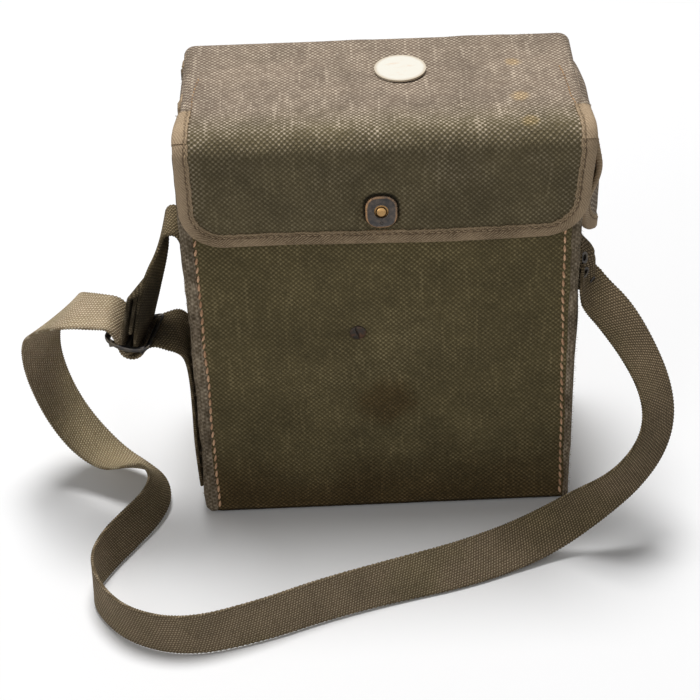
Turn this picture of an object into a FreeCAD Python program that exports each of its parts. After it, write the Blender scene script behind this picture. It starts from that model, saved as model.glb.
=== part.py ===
import FreeCAD, Part
import math
import os

# Field telephone in a canvas carrying case, millimetres.
# Origin: centre of the case's bottom face, on the surface it stands on.
# +Z is up, the front of the case faces -Y, +X is the right side seen from the front.

Vec = FreeCAD.Vector
X = Vec(1, 0, 0)
Y = Vec(0, 1, 0)
Z = Vec(0, 0, 1)

# ---- driving dimensions ------------------------------------------------------------------

# Case
CASE_WIDTH = 192.0
CASE_DEPTH = 90.0
CASE_HEIGHT = 232.0
WALL = 3.0
BOTTOM_THICKNESS = 3.0
PIPING_RADIUS = 3.4
PIPING_INSET = 2.4
BACK_PIPING_SHORT = 8.0
SEAM_GAP = 0.1
BOTTOM_CORNER_RADIUS = 4.0
RIM_ROUNDING = 2.6
FRONT_PIPING_SHORT = 3.0

# General clearances
SEAT_GAP = 0.3
FIT_GAP = 0.05

# Cover
COVER_OVERHANG = 2.4
COVER_THICKNESS = 2.5
COVER_RISE = 2.4
COVER_RIM_GAP = 0.4
CREASE_RADIUS = 8.5
SKIRT_LENGTH = 60.0
SKIRT_GAP = 2.4
SKIRT_CORNER_RADIUS = 22.0
HINGE_ROLL_RADIUS = 1.4
HINGE_BACK_GAP = 1.4
BINDING_WIDTH = 7.5
BINDING_THICKNESS = 0.9
BINDING_START_LEFT = 10.0
BINDING_START_RIGHT = 28.0
EAR_THICKNESS = 2.0
LEFT_EAR_FRONT = -5.0
LEFT_EAR_DROP = 48.0
LEFT_EAR_CORNER = 20.0
RIGHT_EAR_FRONT = -18.0
RIGHT_EAR_DROP = 83.0
RIGHT_EAR_CORNER = 25.0
RIGHT_EAR_BULGE = 5.2
EAR_BULGE_DROP = 13.0
EAR_BACK = 40.0
DISC_RADIUS = 12.7
DISC_THICKNESS = 0.9
DISC_X = 10.7
DISC_Y = 13.0

# Snap fastener
SNAP_X = -2.0
SNAP_BELOW_RIM = 34.5
SOCKET_SIZE = 15.8
SOCKET_CORNER = 5.2
SOCKET_THICKNESS = 1.7
SOCKET_RIM = 1.5
SOCKET_RIM_HEIGHT = 0.6
SOCKET_HOLE_RADIUS = 2.9
CORE_FLANGE_RADIUS = 6.5
CORE_FLANGE_THICKNESS = 0.8
CORE_NECK_RADIUS = 1.9
CORE_HEAD_RADIUS = 2.4
CORE_HEAD_LENGTH = 2.2
CORE_PROUD_OF_PLATE = 0.3
STUD_BASE_RADIUS = 6.0
STUD_BASE_THICKNESS = 0.6
STUD_DOME_RADIUS = 2.4
STUD_DOME_HEIGHT = 0.6
STUD_DOME_ROUNDING = 0.54
STUD_SHANK_RADIUS = 1.9

# Screw on the case front
FRONT_SCREW_X = -15.0
FRONT_SCREW_HEIGHT = 119.5
FRONT_SCREW_RADIUS = 2.5
FRONT_SCREW_HEAD = 1.3
FRONT_SCREW_SHANK = 1.4
SLOT_WIDTH = 0.8
SLOT_DEPTH = 0.6
FRONT_SLOT_TURN = 40.0

# Webbing straps
WEBBING_WIDTH = 25.4
WEBBING_THICKNESS = 1.8
SLIDE_LENGTH = 25.5
SLIDE_RAIL = 2.6
SLIDE_BAR_RADIUS = 1.2
SLIDE_END_ROUNDING = 1.17
SLIDE_SIDE_GAP = 0.9
SLIDE_CENTRE = (-129.8, -38.0, 121.0)
SLIDE_TILT = 8.0
TAB_TOP = 160.0
TAB_BOTTOM = 136.0
TAB_GAP = 0.8
TAB_THICKNESS = 1.8
ANCHOR_RIVET_PITCH = 9.5
ANCHOR_RIVET_COUNT = 3
ANCHOR_RIVET_Y = -37.0
ANCHOR_RIVET_SHANK = 1.5
ANCHOR_RIVET_HEAD = 3.1
ANCHOR_RIVET_HEAD_HEIGHT = 1.1

# Chassis
COMPARTMENT_EDGE = -27.0
SHEET = 2.0
PANEL_BELOW_RIM = 20.0
PANEL_RIGHT = 86.0
PANEL_WALL_GAP = 0.4
PILLAR_RADIUS = 3.0
PILLAR_INSET = 5.0
PANEL_SCREW_RADIUS = 3.2
PANEL_SCREW_HEAD = 1.6
PANEL_SCREW_TURNS = (20, 75, 130, 50)

# Hand generator
CRANK_Y = 3.0
CRANK_BELOW_PANEL = 22.0
CRANK_SHAFT_RADIUS = 4.0
CRANK_WINDOW_RADIUS = 33.0
GEAR_MODULE = 0.9
PRESSURE_ANGLE = 20.0
GEAR_TEETH = 40
PINION_TEETH = 12
GEAR_WIDTH = 4.0
PINION_EXTRA_WIDTH = 0.6
TOOTH_THICKNESS_SHARE = 0.43
ADDENDUM_SHARE = 0.8
DEDENDUM_SHARE = 1.2
FRAME_PLATE = 2.5
FRAME_LEFT_X = 38.0
FRAME_RIGHT_X = 78.0
FRAME_HALF_DEPTH = 27.0
FRAME_BELOW_SPINDLE = 16.6
SPINDLE_RADIUS = 2.5
ARMATURE_RADIUS = 11.0
ARMATURE_AIR_GAP = 0.6
ARMATURE_SLOT_WIDTH = 9.0
ARMATURE_WEB = 6.0
ARMATURE_END_GAP = 1.0
POLE_THICKNESS = 5.4
POLE_HEIGHT = 24.0
POLE_INSET = 4.0
MAGNET_LIMB = 6.0
MAGNET_LENGTH = 10.0
MAGNET_PITCH = 11.0
MAGNET_COUNT = 3
MAGNET_ARCH_RISE = 11.0
ARM_THICKNESS = 2.5
ARM_START_X = 88.5
ARM_HUB_RADIUS = 7.0
ARM_TIP_RADIUS = 26.0
ARM_HALF_WIDTH = 4.0
ARM_LUG_LENGTH = 4.0
KNOB_RADIUS = 4.4
KNOB_START_RADIUS = 8.0
KNOB_END_GAP = 0.5
KNOB_SPINDLE_RADIUS = 1.6
KNOB_ARM_GAP = 0.3
SHAFT_START_X = 35.5
SPINDLE_START_X = 35.5
GEAR_PLATE_GAP = 1.8

# Ringer
RINGER_X = 52.0
RINGER_PLATE_Y = 24.0
RINGER_PLATE_HALF = 27.0
RINGER_PLATE_LOW_TOP = 42.0
RINGER_NECK_HALF = 12.0
YOKE_HEIGHT = 96.0
YOKE_HALF = 22.0
YOKE_FRONT = 4.0
COIL_SPACING = 22.0
COIL_RADIUS = 9.0
COIL_LENGTH = 34.0
COIL_Y = 14.0
COIL_FLANGE = 1.6
CORE_RADIUS = 3.5
CORE_PROUD = 3.0
BAR_GAP = 3.0
BAR_THICKNESS = 3.0
BAR_HALF = 18.0
BAR_HALF_DEPTH = 5.0
BAR_PIVOT_RADIUS = 1.5
BAR_HUB_RADIUS = 3.4
GONG_RADIUS = 14.0
GONG_DEPTH = 9.0
GONG_SHELL = 1.2
GONG_SPACING = 40.0
GONG_HEIGHT = 24.0
GONG_FRONT = 1.0
GONG_POST_RADIUS = 3.0
GONG_SCREW_RADIUS = 2.6
GONG_SCREW_HEAD = 1.6
CLAPPER_RADIUS = 4.0
CLAPPER_ROD_RADIUS = 1.0

# Batteries
CELL_RADIUS = 16.5
CELL_LENGTH = 60.0
CELL_NUB_RADIUS = 4.5
CELL_NUB_HEIGHT = 1.5
CELL_X = -4.0
CELL_Y = 20.0
CELL_TRAY_WALL = 1.0
CELL_TRAY_GAP = 0.4
CELL_FLOOR = 2.0
TRAY_OPEN_HALF = 12.0
CONTACT_SPRING_THICKNESS = 0.5
CONTACT_SPRING_HALF = 5.0
CONTACT_SPRING_RISE = 6.0

# Induction coil and capacitor
INDUCTION_LEFT = -15.5
INDUCTION_RIGHT = 28.0
INDUCTION_Y = -20.0
INDUCTION_CHEEK = 30.0
INDUCTION_CHEEK_THICKNESS = 3.0
INDUCTION_RADIUS = 12.5
CAPACITOR_LEFT = -20.0
CAPACITOR_RIGHT = 26.0
CAPACITOR_FRONT = 8.0
CAPACITOR_BACK = 34.0
CAPACITOR_HEIGHT = 42.0
CAPACITOR_CORNER = 3.0

# Panel fittings
POST_X = (20.0, 44.0)
POST_Y = -28.0
POST_BASE_RADIUS = 8.0
POST_BASE_HEIGHT = 8.0
POST_STEM_RADIUS = 3.0
POST_HEAD_RADIUS = 6.0
POST_HEAD_HEIGHT = 4.0
POST_TRAVEL = 3.0
POST_WIRE_RADIUS = 1.2
SELECTOR_X = 68.0
SELECTOR_Y = -31.0
SELECTOR_HEAD_RADIUS = 5.5
SELECTOR_HEAD_HEIGHT = 3.5
SELECTOR_STEM_RADIUS = 2.5
SELECTOR_STEM_LENGTH = 8.0
LEVER_X = -8.0
LEVER_Y = -20.0
LEVER_WIDTH = 6.0
LEVER_HUB_RADIUS = 3.0
LEVER_PIN_RADIUS = 1.2
LEVER_PIVOT_RISE = 4.0
LEVER_COVER_GAP = 1.2
LEVER_STEM_RADIUS = 1.5
LEVER_TIP_RADIUS = 2.3
LEVER_EAR = 1.5
GLAND_X = -17.5
GLAND_Y = 0.8
GLAND_RADIUS = 6.0
GLAND_BORE_RADIUS = 3.2
GLAND_HEIGHT = 4.0

# Handset
HANDSET_X = -60.0
HANDSET_FACE_Y = 2.0
GRIP_FRONT = 14.0
GRIP_BACK = 34.0
GRIP_HALF_WIDTH = 12.0
GRIP_ROUNDING = 6.0
HANDSET_BELOW_RIM = 14.7
RECEIVER_HEAD_RADIUS = 27.0
RECEIVER_CAP_RADIUS = 29.5
RECEIVER_CAP_DEPTH = 15.0
TRANSMITTER_HEAD_RADIUS = 25.0
TRANSMITTER_CAP_RADIUS = 27.5
TRANSMITTER_CAP_DEPTH = 17.0
CAP_FLARE = 6.0
CAP_DISH_DEPTH = 3.0
CAP_HOLE_RADIUS = 1.3
CAP_HOLE_CIRCLE = 7.0
CAP_HOLE_COUNT = 6
CAP_HOLE_SPREAD = 0.6
HEAD_BACK_DOME = 8.0
SWITCH_PLACE_SHARE = 0.58
SWITCH_LENGTH = 42.0
SWITCH_HALF_WIDTH = 5.5
SWITCH_PROUD = 4.0
SWITCH_TRAVEL = 2.0
SWITCH_SEAT = 1.5

# ---- values worked out from them ---------------------------------------------------------

HALF_W = CASE_WIDTH / 2
HALF_D = CASE_DEPTH / 2
IN_X = HALF_W - WALL
IN_Y = HALF_D - WALL
COVER_HALF = HALF_W + COVER_OVERHANG
HINGE_Y = HALF_D + HINGE_BACK_GAP
HINGE_Z = CASE_HEIGHT + HINGE_ROLL_RADIUS
COVER_REAR_Y = HINGE_Y - HINGE_ROLL_RADIUS - SEAT_GAP
COVER_UNDER_Z = CASE_HEIGHT + COVER_RIM_GAP
SKIRT_IN_Y = -(HALF_D + SKIRT_GAP)
SKIRT_OUT_Y = SKIRT_IN_Y - COVER_THICKNESS
COVER_TOP_Z = COVER_UNDER_Z + COVER_THICKNESS + COVER_RISE
SKIRT_BOTTOM_Z = COVER_TOP_Z - SKIRT_LENGTH
SNAP_HEIGHT = CASE_HEIGHT - SNAP_BELOW_RIM
PANEL_TOP = CASE_HEIGHT - PANEL_BELOW_RIM
PANEL_UNDER = PANEL_TOP - SHEET
CRANK_HEIGHT = PANEL_UNDER - CRANK_BELOW_PANEL
ARMATURE_Z = CRANK_HEIGHT - GEAR_MODULE * (GEAR_TEETH + PINION_TEETH) / 2
FRAME_BOTTOM = ARMATURE_Z - FRAME_BELOW_SPINDLE
GEAR_X = FRAME_RIGHT_X + FRAME_PLATE + GEAR_PLATE_GAP
ARM_OUT_X = ARM_START_X + ARM_THICKNESS
KNOB_AXIS_X = ARM_OUT_X + KNOB_ARM_GAP + KNOB_RADIUS
CHASSIS_FLOOR = BOTTOM_THICKNESS + SHEET
SLIDE_HALF_WIDTH = WEBBING_WIDTH / 2 + SLIDE_SIDE_GAP
BAR_TOP_Z = YOKE_HEIGHT - COIL_LENGTH - CORE_PROUD - BAR_GAP
BAR_PIVOT_Z = BAR_TOP_Z - BAR_THICKNESS / 2
TRANSMITTER_Z = BOTTOM_THICKNESS + SEAT_GAP + TRANSMITTER_CAP_RADIUS
RECEIVER_Z = CASE_HEIGHT - HANDSET_BELOW_RIM - RECEIVER_CAP_RADIUS
SWITCH_MIDDLE_Z = TRANSMITTER_Z + (RECEIVER_Z - TRANSMITTER_Z) * SWITCH_PLACE_SHARE
SWITCH_LOW_Z = SWITCH_MIDDLE_Z - SWITCH_LENGTH / 2
LEVER_REACH = PANEL_BELOW_RIM - LEVER_PIVOT_RISE - LEVER_TIP_RADIUS - LEVER_COVER_GAP

# Route of the sling: a point of its centre line, and the way its upper edge lies there.
SLING_ROUTE = (
    ((101.6, -33.4, 158.0), (-0.26, -0.97, 0.00)),
    ((101.6, -33.4, 136.0), (-0.26, -0.97, 0.00)),
    ((104.5, -39.0, 127.5), (-0.50, -0.85, -0.15)),
    ((113.5, -46.0, 121.5), (-0.68, -0.72, -0.12)),
    ((126.5, -54.5, 109.0), (-0.72, -0.69, 0.10)),
    ((134.5, -65.5, 94.5), (-0.72, -0.62, 0.30)),
    ((136.0, -75.0, 80.0), (-0.71, -0.57, 0.42)),
    ((131.0, -82.0, 65.0), (-0.71, -0.45, 0.54)),
    ((119.0, -85.0, 47.5), (-0.72, -0.30, 0.63)),
    ((101.0, -84.0, 30.5), (-0.70, 0.05, 0.71)),
    ((82.0, -86.0, 16.5), (-0.60, 0.30, 0.74)),
    ((62.0, -94.0, 12.0), (-0.40, 0.40, 0.82)),
    ((33.0, -106.5, 12.4), (-0.27, 0.34, 0.90)),
    ((-2.0, -117.0, 13.2), (-0.20, 0.20, 0.96)),
    ((-36.0, -128.0, 13.4), (-0.24, 0.14, 0.96)),
    ((-68.0, -141.5, 13.5), (-0.18, 0.12, 0.98)),
    ((-104.0, -151.5, 13.6), (-0.06, 0.06, 1.00)),
    ((-133.0, -143.0, 13.7), (0.05, -0.02, 1.00)),
    ((-150.0, -124.5, 14.2), (0.12, -0.10, 0.99)),
    ((-155.5, -106.2, 14.6), (0.02, 0.08, 1.00)),
    ((-148.5, -88.0, 13.9), (-0.16, 0.10, 0.98)),
    ((-138.5, -73.0, 13.9), (-0.20, 0.08, 0.98)),
    ((-127.5, -57.0, 14.2), (-0.22, 0.00, 0.97)),
    ((-123.0, -43.0, 15.7), (-0.36, -0.16, 0.92)),
    ((-127.5, -31.0, 17.2), (-0.50, -0.34, 0.80)),
    ((-139.0, -23.8, 14.8), (-0.55, -0.68, 0.50)),
    ((-151.0, -16.8, 13.6), (-0.52, -0.82, 0.18)),
    ((-165.0, -8.4, 22.5), (-0.58, -0.81, -0.06)),
    ((-175.0, -3.8, 38.0), (-0.61, -0.79, -0.10)),
    ((-181.2, -1.4, 56.0), (-0.64, -0.76, -0.10)),
    ((-184.2, -0.6, 75.0), (-0.70, -0.71, -0.08)),
    ((-181.8, -3.2, 94.0), (-0.76, -0.64, -0.06)),
    ((-173.0, -12.2, 108.6), (-0.71, -0.68, -0.18)),
    ((-165.0, -23.8, 121.0), (-0.60, -0.75, -0.27)),
    ((-160.5, -30.5, 127.5), (-0.44, -0.87, -0.22)),
    ((-154.5, -34.5, 130.6), (-0.26, -0.96, -0.14)),
    ((-146.0, -37.0, 131.4), (-0.12, -0.98, -0.12)),
    ((-138.5, -38.0, 128.0), (-0.05, -1.00, -0.04)),
    ((-135.0, -38.0, 119.5), (0.00, -1.00, 0.00)),
    ((-130.5, -38.0, 113.4), (0.00, -1.00, 0.00)),
    ((-125.0, -38.0, 116.0), (0.00, -1.00, 0.00)),
    ((-119.5, -38.0, 122.8), (0.00, -1.00, 0.00)),
    ((-110.0, -38.3, 120.6), (-0.08, -0.99, -0.05)),
    ((-103.0, -36.5, 114.0), (-0.15, -0.93, -0.32)),
    ((-99.9, -33.5, 103.0), (-0.06, -0.97, -0.22)),
    ((-98.6, -33.0, 88.0), (0.00, -1.00, -0.04)),
    ((-98.3, -33.0, 66.0), (0.00, -1.00, 0.00)),
    ((-98.8, -33.0, 42.0), (0.00, -1.00, 0.00)),
    ((-100.2, -33.0, 18.0), (0.00, -1.00, 0.00)),
)

# Route of the short strap that carries the slide, from its sewn end on the left wall.
HANGER_ROUTE = (
    ((-98.0, -28.0, 151.0), (0.00, 1.00, 0.00)),
    ((-98.1, -28.0, 166.0), (0.00, 1.00, 0.00)),
    ((-100.5, -28.0, 180.0), (0.00, 1.00, 0.00)),
    ((-107.5, -28.0, 179.0), (0.00, 1.00, 0.00)),
    ((-110.0, -28.5, 166.0), (0.05, 0.99, -0.05)),
    ((-112.5, -30.5, 154.0), (0.25, 0.95, -0.15)),
    ((-116.0, -34.0, 143.5), (0.50, 0.85, -0.15)),
    ((-120.5, -36.8, 134.0), (0.62, 0.78, -0.10)),
    ((-125.2, -37.8, 126.2), (0.30, 0.95, -0.05)),
    ((-127.0, -38.0, 119.6), (0.00, 1.00, 0.00)),
    ((-130.6, -38.0, 117.2), (0.00, 1.00, 0.00)),
    ((-132.7, -38.0, 122.0), (0.00, 1.00, 0.00)),
    ((-129.0, -38.0, 129.0), (0.30, 0.95, 0.00)),
    ((-124.3, -37.2, 137.5), (0.60, 0.79, -0.10)),
)

LINE_TOLERANCE = 1e-6
HALF_TURN = 180.0
ARC_SHARE = 0.45


# ---- small helpers -----------------------------------------------------------------------

def block(x0, x1, y0, y1, z0, z1):
    return Part.makeBox(x1 - x0, y1 - y0, z1 - z0, Vec(x0, y0, z0))


def rod(radius, start, end):
    run = end - start
    return Part.makeCylinder(radius, run.Length, start, run)


def prism(points, travel):
    wire = Part.makePolygon(list(points) + [points[0]])
    return Part.Face(wire).extrude(travel)


def edges_along(shape, axis, keep=None):
    found = []
    for edge in shape.Edges:
        if not isinstance(edge.Curve, Part.Line):
            continue
        if abs(edge.Curve.Direction.dot(axis)) < 1 - LINE_TOLERANCE:
            continue
        middle = edge.CenterOfMass
        if keep is None or keep(middle):
            found.append(edge)
    return found


def rounded(shape, radius, axis, keep=None):
    return shape.makeFillet(radius, edges_along(shape, axis, keep))


def circles_beyond(shape, point, direction):
    """The shape's circular edges that lie further along `direction` than `point`."""
    return [edge for edge in shape.Edges if isinstance(edge.Curve, Part.Circle)
            and (edge.CenterOfMass - point).dot(direction) > LINE_TOLERANCE]


def mirrored_x(shape):
    return shape.mirror(Vec(0, 0, 0), X)


# ---- the case ----------------------------------------------------------------------------

def piping_rod(x, y, radius, top):
    return rod(radius, Vec(x, y, BOTTOM_THICKNESS), Vec(x, y, top))


def corner(side, end):
    return side * (HALF_W - PIPING_INSET), end * (HALF_D - PIPING_INSET)


def piping(side, end):
    x, y = corner(side, end)
    top = CASE_HEIGHT - (FRONT_PIPING_SHORT if end < 0 else BACK_PIPING_SHORT)
    cord = piping_rod(x, y, PIPING_RADIUS, top)

    def at_top(edge):
        return isinstance(edge.Curve, Part.Circle) and edge.CenterOfMass.z > CASE_HEIGHT / 2

    return cord.makeFillet(PIPING_RADIUS / 2, [edge for edge in cord.Edges if at_top(edge)])


def without_corners(panel):
    for side in (-1, 1):
        for end in (-1, 1):
            x, y = corner(side, end)
            panel = panel.cut(piping_rod(x, y, PIPING_RADIUS + SEAM_GAP, CASE_HEIGHT))
    return panel


def case_end(end):
    reach = HALF_W - PIPING_INSET
    outer = end * HALF_D
    inner = end * IN_Y
    return block(-reach, reach, min(outer, inner), max(outer, inner), BOTTOM_THICKNESS, CASE_HEIGHT)


def case_front():
    def outer_rim(middle):
        return middle.z > CASE_HEIGHT / 2 and middle.y < -IN_Y - WALL / 2

    panel = without_corners(rounded(case_end(-1), RIM_ROUNDING, X, outer_rim))
    stud = rod(STUD_SHANK_RADIUS + FIT_GAP, Vec(SNAP_X, -HALF_D, SNAP_HEIGHT),
               Vec(SNAP_X, -IN_Y, SNAP_HEIGHT))
    screw = rod(FRONT_SCREW_SHANK + FIT_GAP, Vec(FRONT_SCREW_X, -HALF_D, FRONT_SCREW_HEIGHT),
                Vec(FRONT_SCREW_X, -IN_Y, FRONT_SCREW_HEIGHT))
    return panel.cut(stud).cut(screw)


def case_back():
    return without_corners(case_end(1))


def case_side(side):
    reach = HALF_D - PIPING_INSET
    outer = side * HALF_W
    inner = side * IN_X
    panel = block(min(outer, inner), max(outer, inner), -reach, reach, BOTTOM_THICKNESS, CASE_HEIGHT)
    return without_corners(panel)


def case_left():
    return case_side(-1)


def anchor_rivet_heights():
    middle = (TAB_TOP + TAB_BOTTOM) / 2
    first = middle - ANCHOR_RIVET_PITCH * (ANCHOR_RIVET_COUNT - 1) / 2
    return [first + ANCHOR_RIVET_PITCH * i for i in range(ANCHOR_RIVET_COUNT)]


def case_right():
    panel = case_side(1)
    window = rod(CRANK_WINDOW_RADIUS, Vec(0, CRANK_Y, CRANK_HEIGHT), Vec(2 * HALF_W, CRANK_Y, CRANK_HEIGHT))
    panel = panel.cut(window)
    for height in anchor_rivet_heights():
        hole = rod(ANCHOR_RIVET_SHANK + FIT_GAP, Vec(0, ANCHOR_RIVET_Y, height),
                   Vec(2 * HALF_W, ANCHOR_RIVET_Y, height))
        panel = panel.cut(hole)
    return panel


def case_bottom():
    plate = block(-HALF_W, HALF_W, -HALF_D, HALF_D, 0, BOTTOM_THICKNESS)
    return rounded(plate, BOTTOM_CORNER_RADIUS, Z)


def front_screw():
    centre = Vec(FRONT_SCREW_X, -HALF_D, FRONT_SCREW_HEIGHT)
    head = rod(FRONT_SCREW_RADIUS, centre, centre - Y * FRONT_SCREW_HEAD)
    head = head.makeFillet(FRONT_SCREW_HEAD / 2, circles_beyond(head, centre, -Y))
    slot = block(-FRONT_SCREW_RADIUS, FRONT_SCREW_RADIUS, -SLOT_DEPTH, 0,
                 -SLOT_WIDTH / 2, SLOT_WIDTH / 2)
    slot.rotate(Vec(0, 0, 0), Y, FRONT_SLOT_TURN)
    slot.translate(centre - Y * (FRONT_SCREW_HEAD - SLOT_DEPTH))
    shank = rod(FRONT_SCREW_SHANK, centre, Vec(FRONT_SCREW_X, -IN_Y, FRONT_SCREW_HEIGHT))
    return head.fuse(shank).cut(slot)


def snap_stud():
    face = Vec(SNAP_X, -HALF_D, SNAP_HEIGHT)
    base = rod(STUD_BASE_RADIUS, face, face - Y * STUD_BASE_THICKNESS)
    dome = rod(STUD_DOME_RADIUS, face, face - Y * (STUD_BASE_THICKNESS + STUD_DOME_HEIGHT))
    dome = dome.makeFillet(STUD_DOME_ROUNDING, circles_beyond(dome, face - Y * STUD_BASE_THICKNESS, -Y))
    shank = rod(STUD_SHANK_RADIUS, Vec(SNAP_X, -IN_Y, SNAP_HEIGHT), face)
    return base.fuse(dome).fuse(shank)


def hinge_roll():
    reach = HALF_W - PIPING_INSET
    roll = rod(HINGE_ROLL_RADIUS, Vec(-reach, HINGE_Y, HINGE_Z), Vec(reach, HINGE_Y, HINGE_Z))
    tail_low = HINGE_Z - HINGE_ROLL_RADIUS - BACK_PIPING_SHORT / 2
    tail = block(-reach, reach, HALF_D, HINGE_Y, tail_low, HINGE_Z)
    wall = block(-reach, reach, 0, HALF_D, 0, CASE_HEIGHT)
    return roll.fuse(tail).cut(wall)


# ---- the cover ---------------------------------------------------------------------------

def cover_profile(extra):
    """Outline of the cover's section, its faces moved out by `extra` on both sides."""
    low = COVER_UNDER_Z - extra
    high = COVER_UNDER_Z + COVER_THICKNESS + extra
    rise = COVER_RISE
    inner_y = SKIRT_IN_Y + extra
    outer_y = SKIRT_OUT_Y - extra
    bend = CREASE_RADIUS
    outer_bend = bend + COVER_THICKNESS + extra
    inner_bend = bend - extra
    bend_y = SKIRT_IN_Y + bend
    bend_z = COVER_UNDER_Z + rise - bend
    quarter = math.radians(45)
    bottom = SKIRT_BOTTOM_Z - extra
    rear = COVER_REAR_Y
    points = {
        "rear_low": Vec(0, rear, low), "rear_high": Vec(0, rear, high),
        "top_out": Vec(0, bend_y, bend_z + outer_bend), "top_in": Vec(0, bend_y, bend_z + inner_bend),
        "arc_out": Vec(0, bend_y - outer_bend * math.cos(quarter), bend_z + outer_bend * math.sin(quarter)),
        "arc_in": Vec(0, bend_y - inner_bend * math.cos(quarter), bend_z + inner_bend * math.sin(quarter)),
        "face_out": Vec(0, outer_y, bend_z), "face_in": Vec(0, inner_y, bend_z),
        "hem_out": Vec(0, outer_y, bottom), "hem_in": Vec(0, inner_y, bottom),
    }
    edges = [
        Part.LineSegment(points["rear_low"], points["rear_high"]),
        Part.LineSegment(points["rear_high"], points["top_out"]),
        Part.Arc(points["top_out"], points["arc_out"], points["face_out"]),
        Part.LineSegment(points["face_out"], points["hem_out"]),
        Part.LineSegment(points["hem_out"], points["hem_in"]),
        Part.LineSegment(points["hem_in"], points["face_in"]),
        Part.Arc(points["face_in"], points["arc_in"], points["top_in"]),
        Part.LineSegment(points["top_in"], points["rear_low"]),
    ]
    return Part.Face(Part.Wire([edge.toShape() for edge in edges]))


def cover_shell(extra):
    half = COVER_HALF + extra
    shell = cover_profile(extra).extrude(X * 2 * half)
    shell.translate(X * -half)
    low = SKIRT_BOTTOM_Z + SKIRT_CORNER_RADIUS

    def on_hem(middle):
        return middle.z < low and abs(middle.x) > half - LINE_TOLERANCE

    return rounded(shell, SKIRT_CORNER_RADIUS + extra, Y, on_hem)


def snap_hole(radius):
    return rod(radius, Vec(SNAP_X, -HALF_D, SNAP_HEIGHT), Vec(SNAP_X, -2 * HALF_D, SNAP_HEIGHT))


def cover_panel():
    return cover_shell(0).cut(snap_hole(SOCKET_HOLE_RADIUS + FIT_GAP))


def cover_binding():
    inner_x = COVER_HALF - BINDING_WIDTH
    inner_z = SKIRT_BOTTOM_Z + BINDING_WIDTH
    window = block(-inner_x, inner_x, -2 * HALF_D, 2 * HALF_D, inner_z, 2 * CASE_HEIGHT)

    def lower(middle):
        return middle.z < CASE_HEIGHT

    window = rounded(window, SKIRT_CORNER_RADIUS - BINDING_WIDTH, Y, lower)
    behind_left = block(-2 * HALF_W, 0, -BINDING_START_LEFT, 2 * HALF_D, 0, 2 * CASE_HEIGHT)
    behind_right = block(0, 2 * HALF_W, -BINDING_START_RIGHT, 2 * HALF_D, 0, 2 * CASE_HEIGHT)
    tape = cover_shell(BINDING_THICKNESS)
    return tape.cut(window).cut(behind_left).cut(behind_right).cut(cover_shell(0))


def ear_plate(line, thickness, front, drop, corner_radius):
    """A side flap: `line` gives its section as (outward, down) steps from under the cover's edge."""
    root = Vec(COVER_HALF - thickness, front, COVER_UNDER_Z)
    inner = [root + X * out - Z * down for out, down in line]
    outer = [point + X * thickness for point in reversed(inner)]
    plate = prism(inner + outer, Y * (EAR_BACK - front))
    reach = COVER_UNDER_Z - drop + corner_radius

    def at_foot(middle):
        return middle.z < reach

    return rounded(plate, corner_radius, X, at_foot)


def ear_left():
    line = ((0, 0), (0, LEFT_EAR_DROP))
    ear = ear_plate(line, EAR_THICKNESS, LEFT_EAR_FRONT, LEFT_EAR_DROP, LEFT_EAR_CORNER)
    return mirrored_x(ear)


def ear_right():
    line = ((0, 0), (RIGHT_EAR_BULGE, EAR_BULGE_DROP), (RIGHT_EAR_BULGE, RIGHT_EAR_DROP))
    return ear_plate(line, EAR_THICKNESS, RIGHT_EAR_FRONT, RIGHT_EAR_DROP, RIGHT_EAR_CORNER)


def snap_socket():
    half = SOCKET_SIZE / 2
    back = SKIRT_OUT_Y
    front = back - SOCKET_THICKNESS
    plate = block(SNAP_X - half, SNAP_X + half, front, back, SNAP_HEIGHT - half, SNAP_HEIGHT + half)
    plate = rounded(plate, SOCKET_CORNER, Y)
    inner = half - SOCKET_RIM
    dish = block(SNAP_X - inner, SNAP_X + inner, front, front + SOCKET_RIM_HEIGHT,
                 SNAP_HEIGHT - inner, SNAP_HEIGHT + inner)
    dish = rounded(dish, SOCKET_CORNER - SOCKET_RIM, Y)
    return plate.cut(dish).cut(snap_hole(SOCKET_HOLE_RADIUS))


def snap_core():
    face = Vec(SNAP_X, SKIRT_IN_Y, SNAP_HEIGHT)
    tip = Vec(SNAP_X, SKIRT_OUT_Y - SOCKET_THICKNESS - CORE_PROUD_OF_PLATE, SNAP_HEIGHT)
    flange = rod(CORE_FLANGE_RADIUS, face, face + Y * CORE_FLANGE_THICKNESS)
    neck = rod(CORE_NECK_RADIUS, face, tip + Y * CORE_HEAD_LENGTH / 2)
    head = rod(CORE_HEAD_RADIUS, tip + Y * CORE_HEAD_LENGTH, tip)
    head = head.makeFillet(CORE_HEAD_LENGTH / 3, circles_beyond(head, tip + Y * CORE_HEAD_LENGTH / 2, -Y))
    return flange.fuse(neck).fuse(head)


def cover_slope():
    run = COVER_REAR_Y - (SKIRT_IN_Y + CREASE_RADIUS)
    return COVER_RISE / run


def cover_disc():
    rise = (COVER_REAR_Y - DISC_Y) * cover_slope()
    base = Vec(DISC_X, DISC_Y, COVER_UNDER_Z + COVER_THICKNESS + rise)
    normal = Vec(0, cover_slope(), 1).normalize()
    return rod(DISC_RADIUS, base, base + normal * DISC_THICKNESS)


# ---- the webbing -------------------------------------------------------------------------

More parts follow.
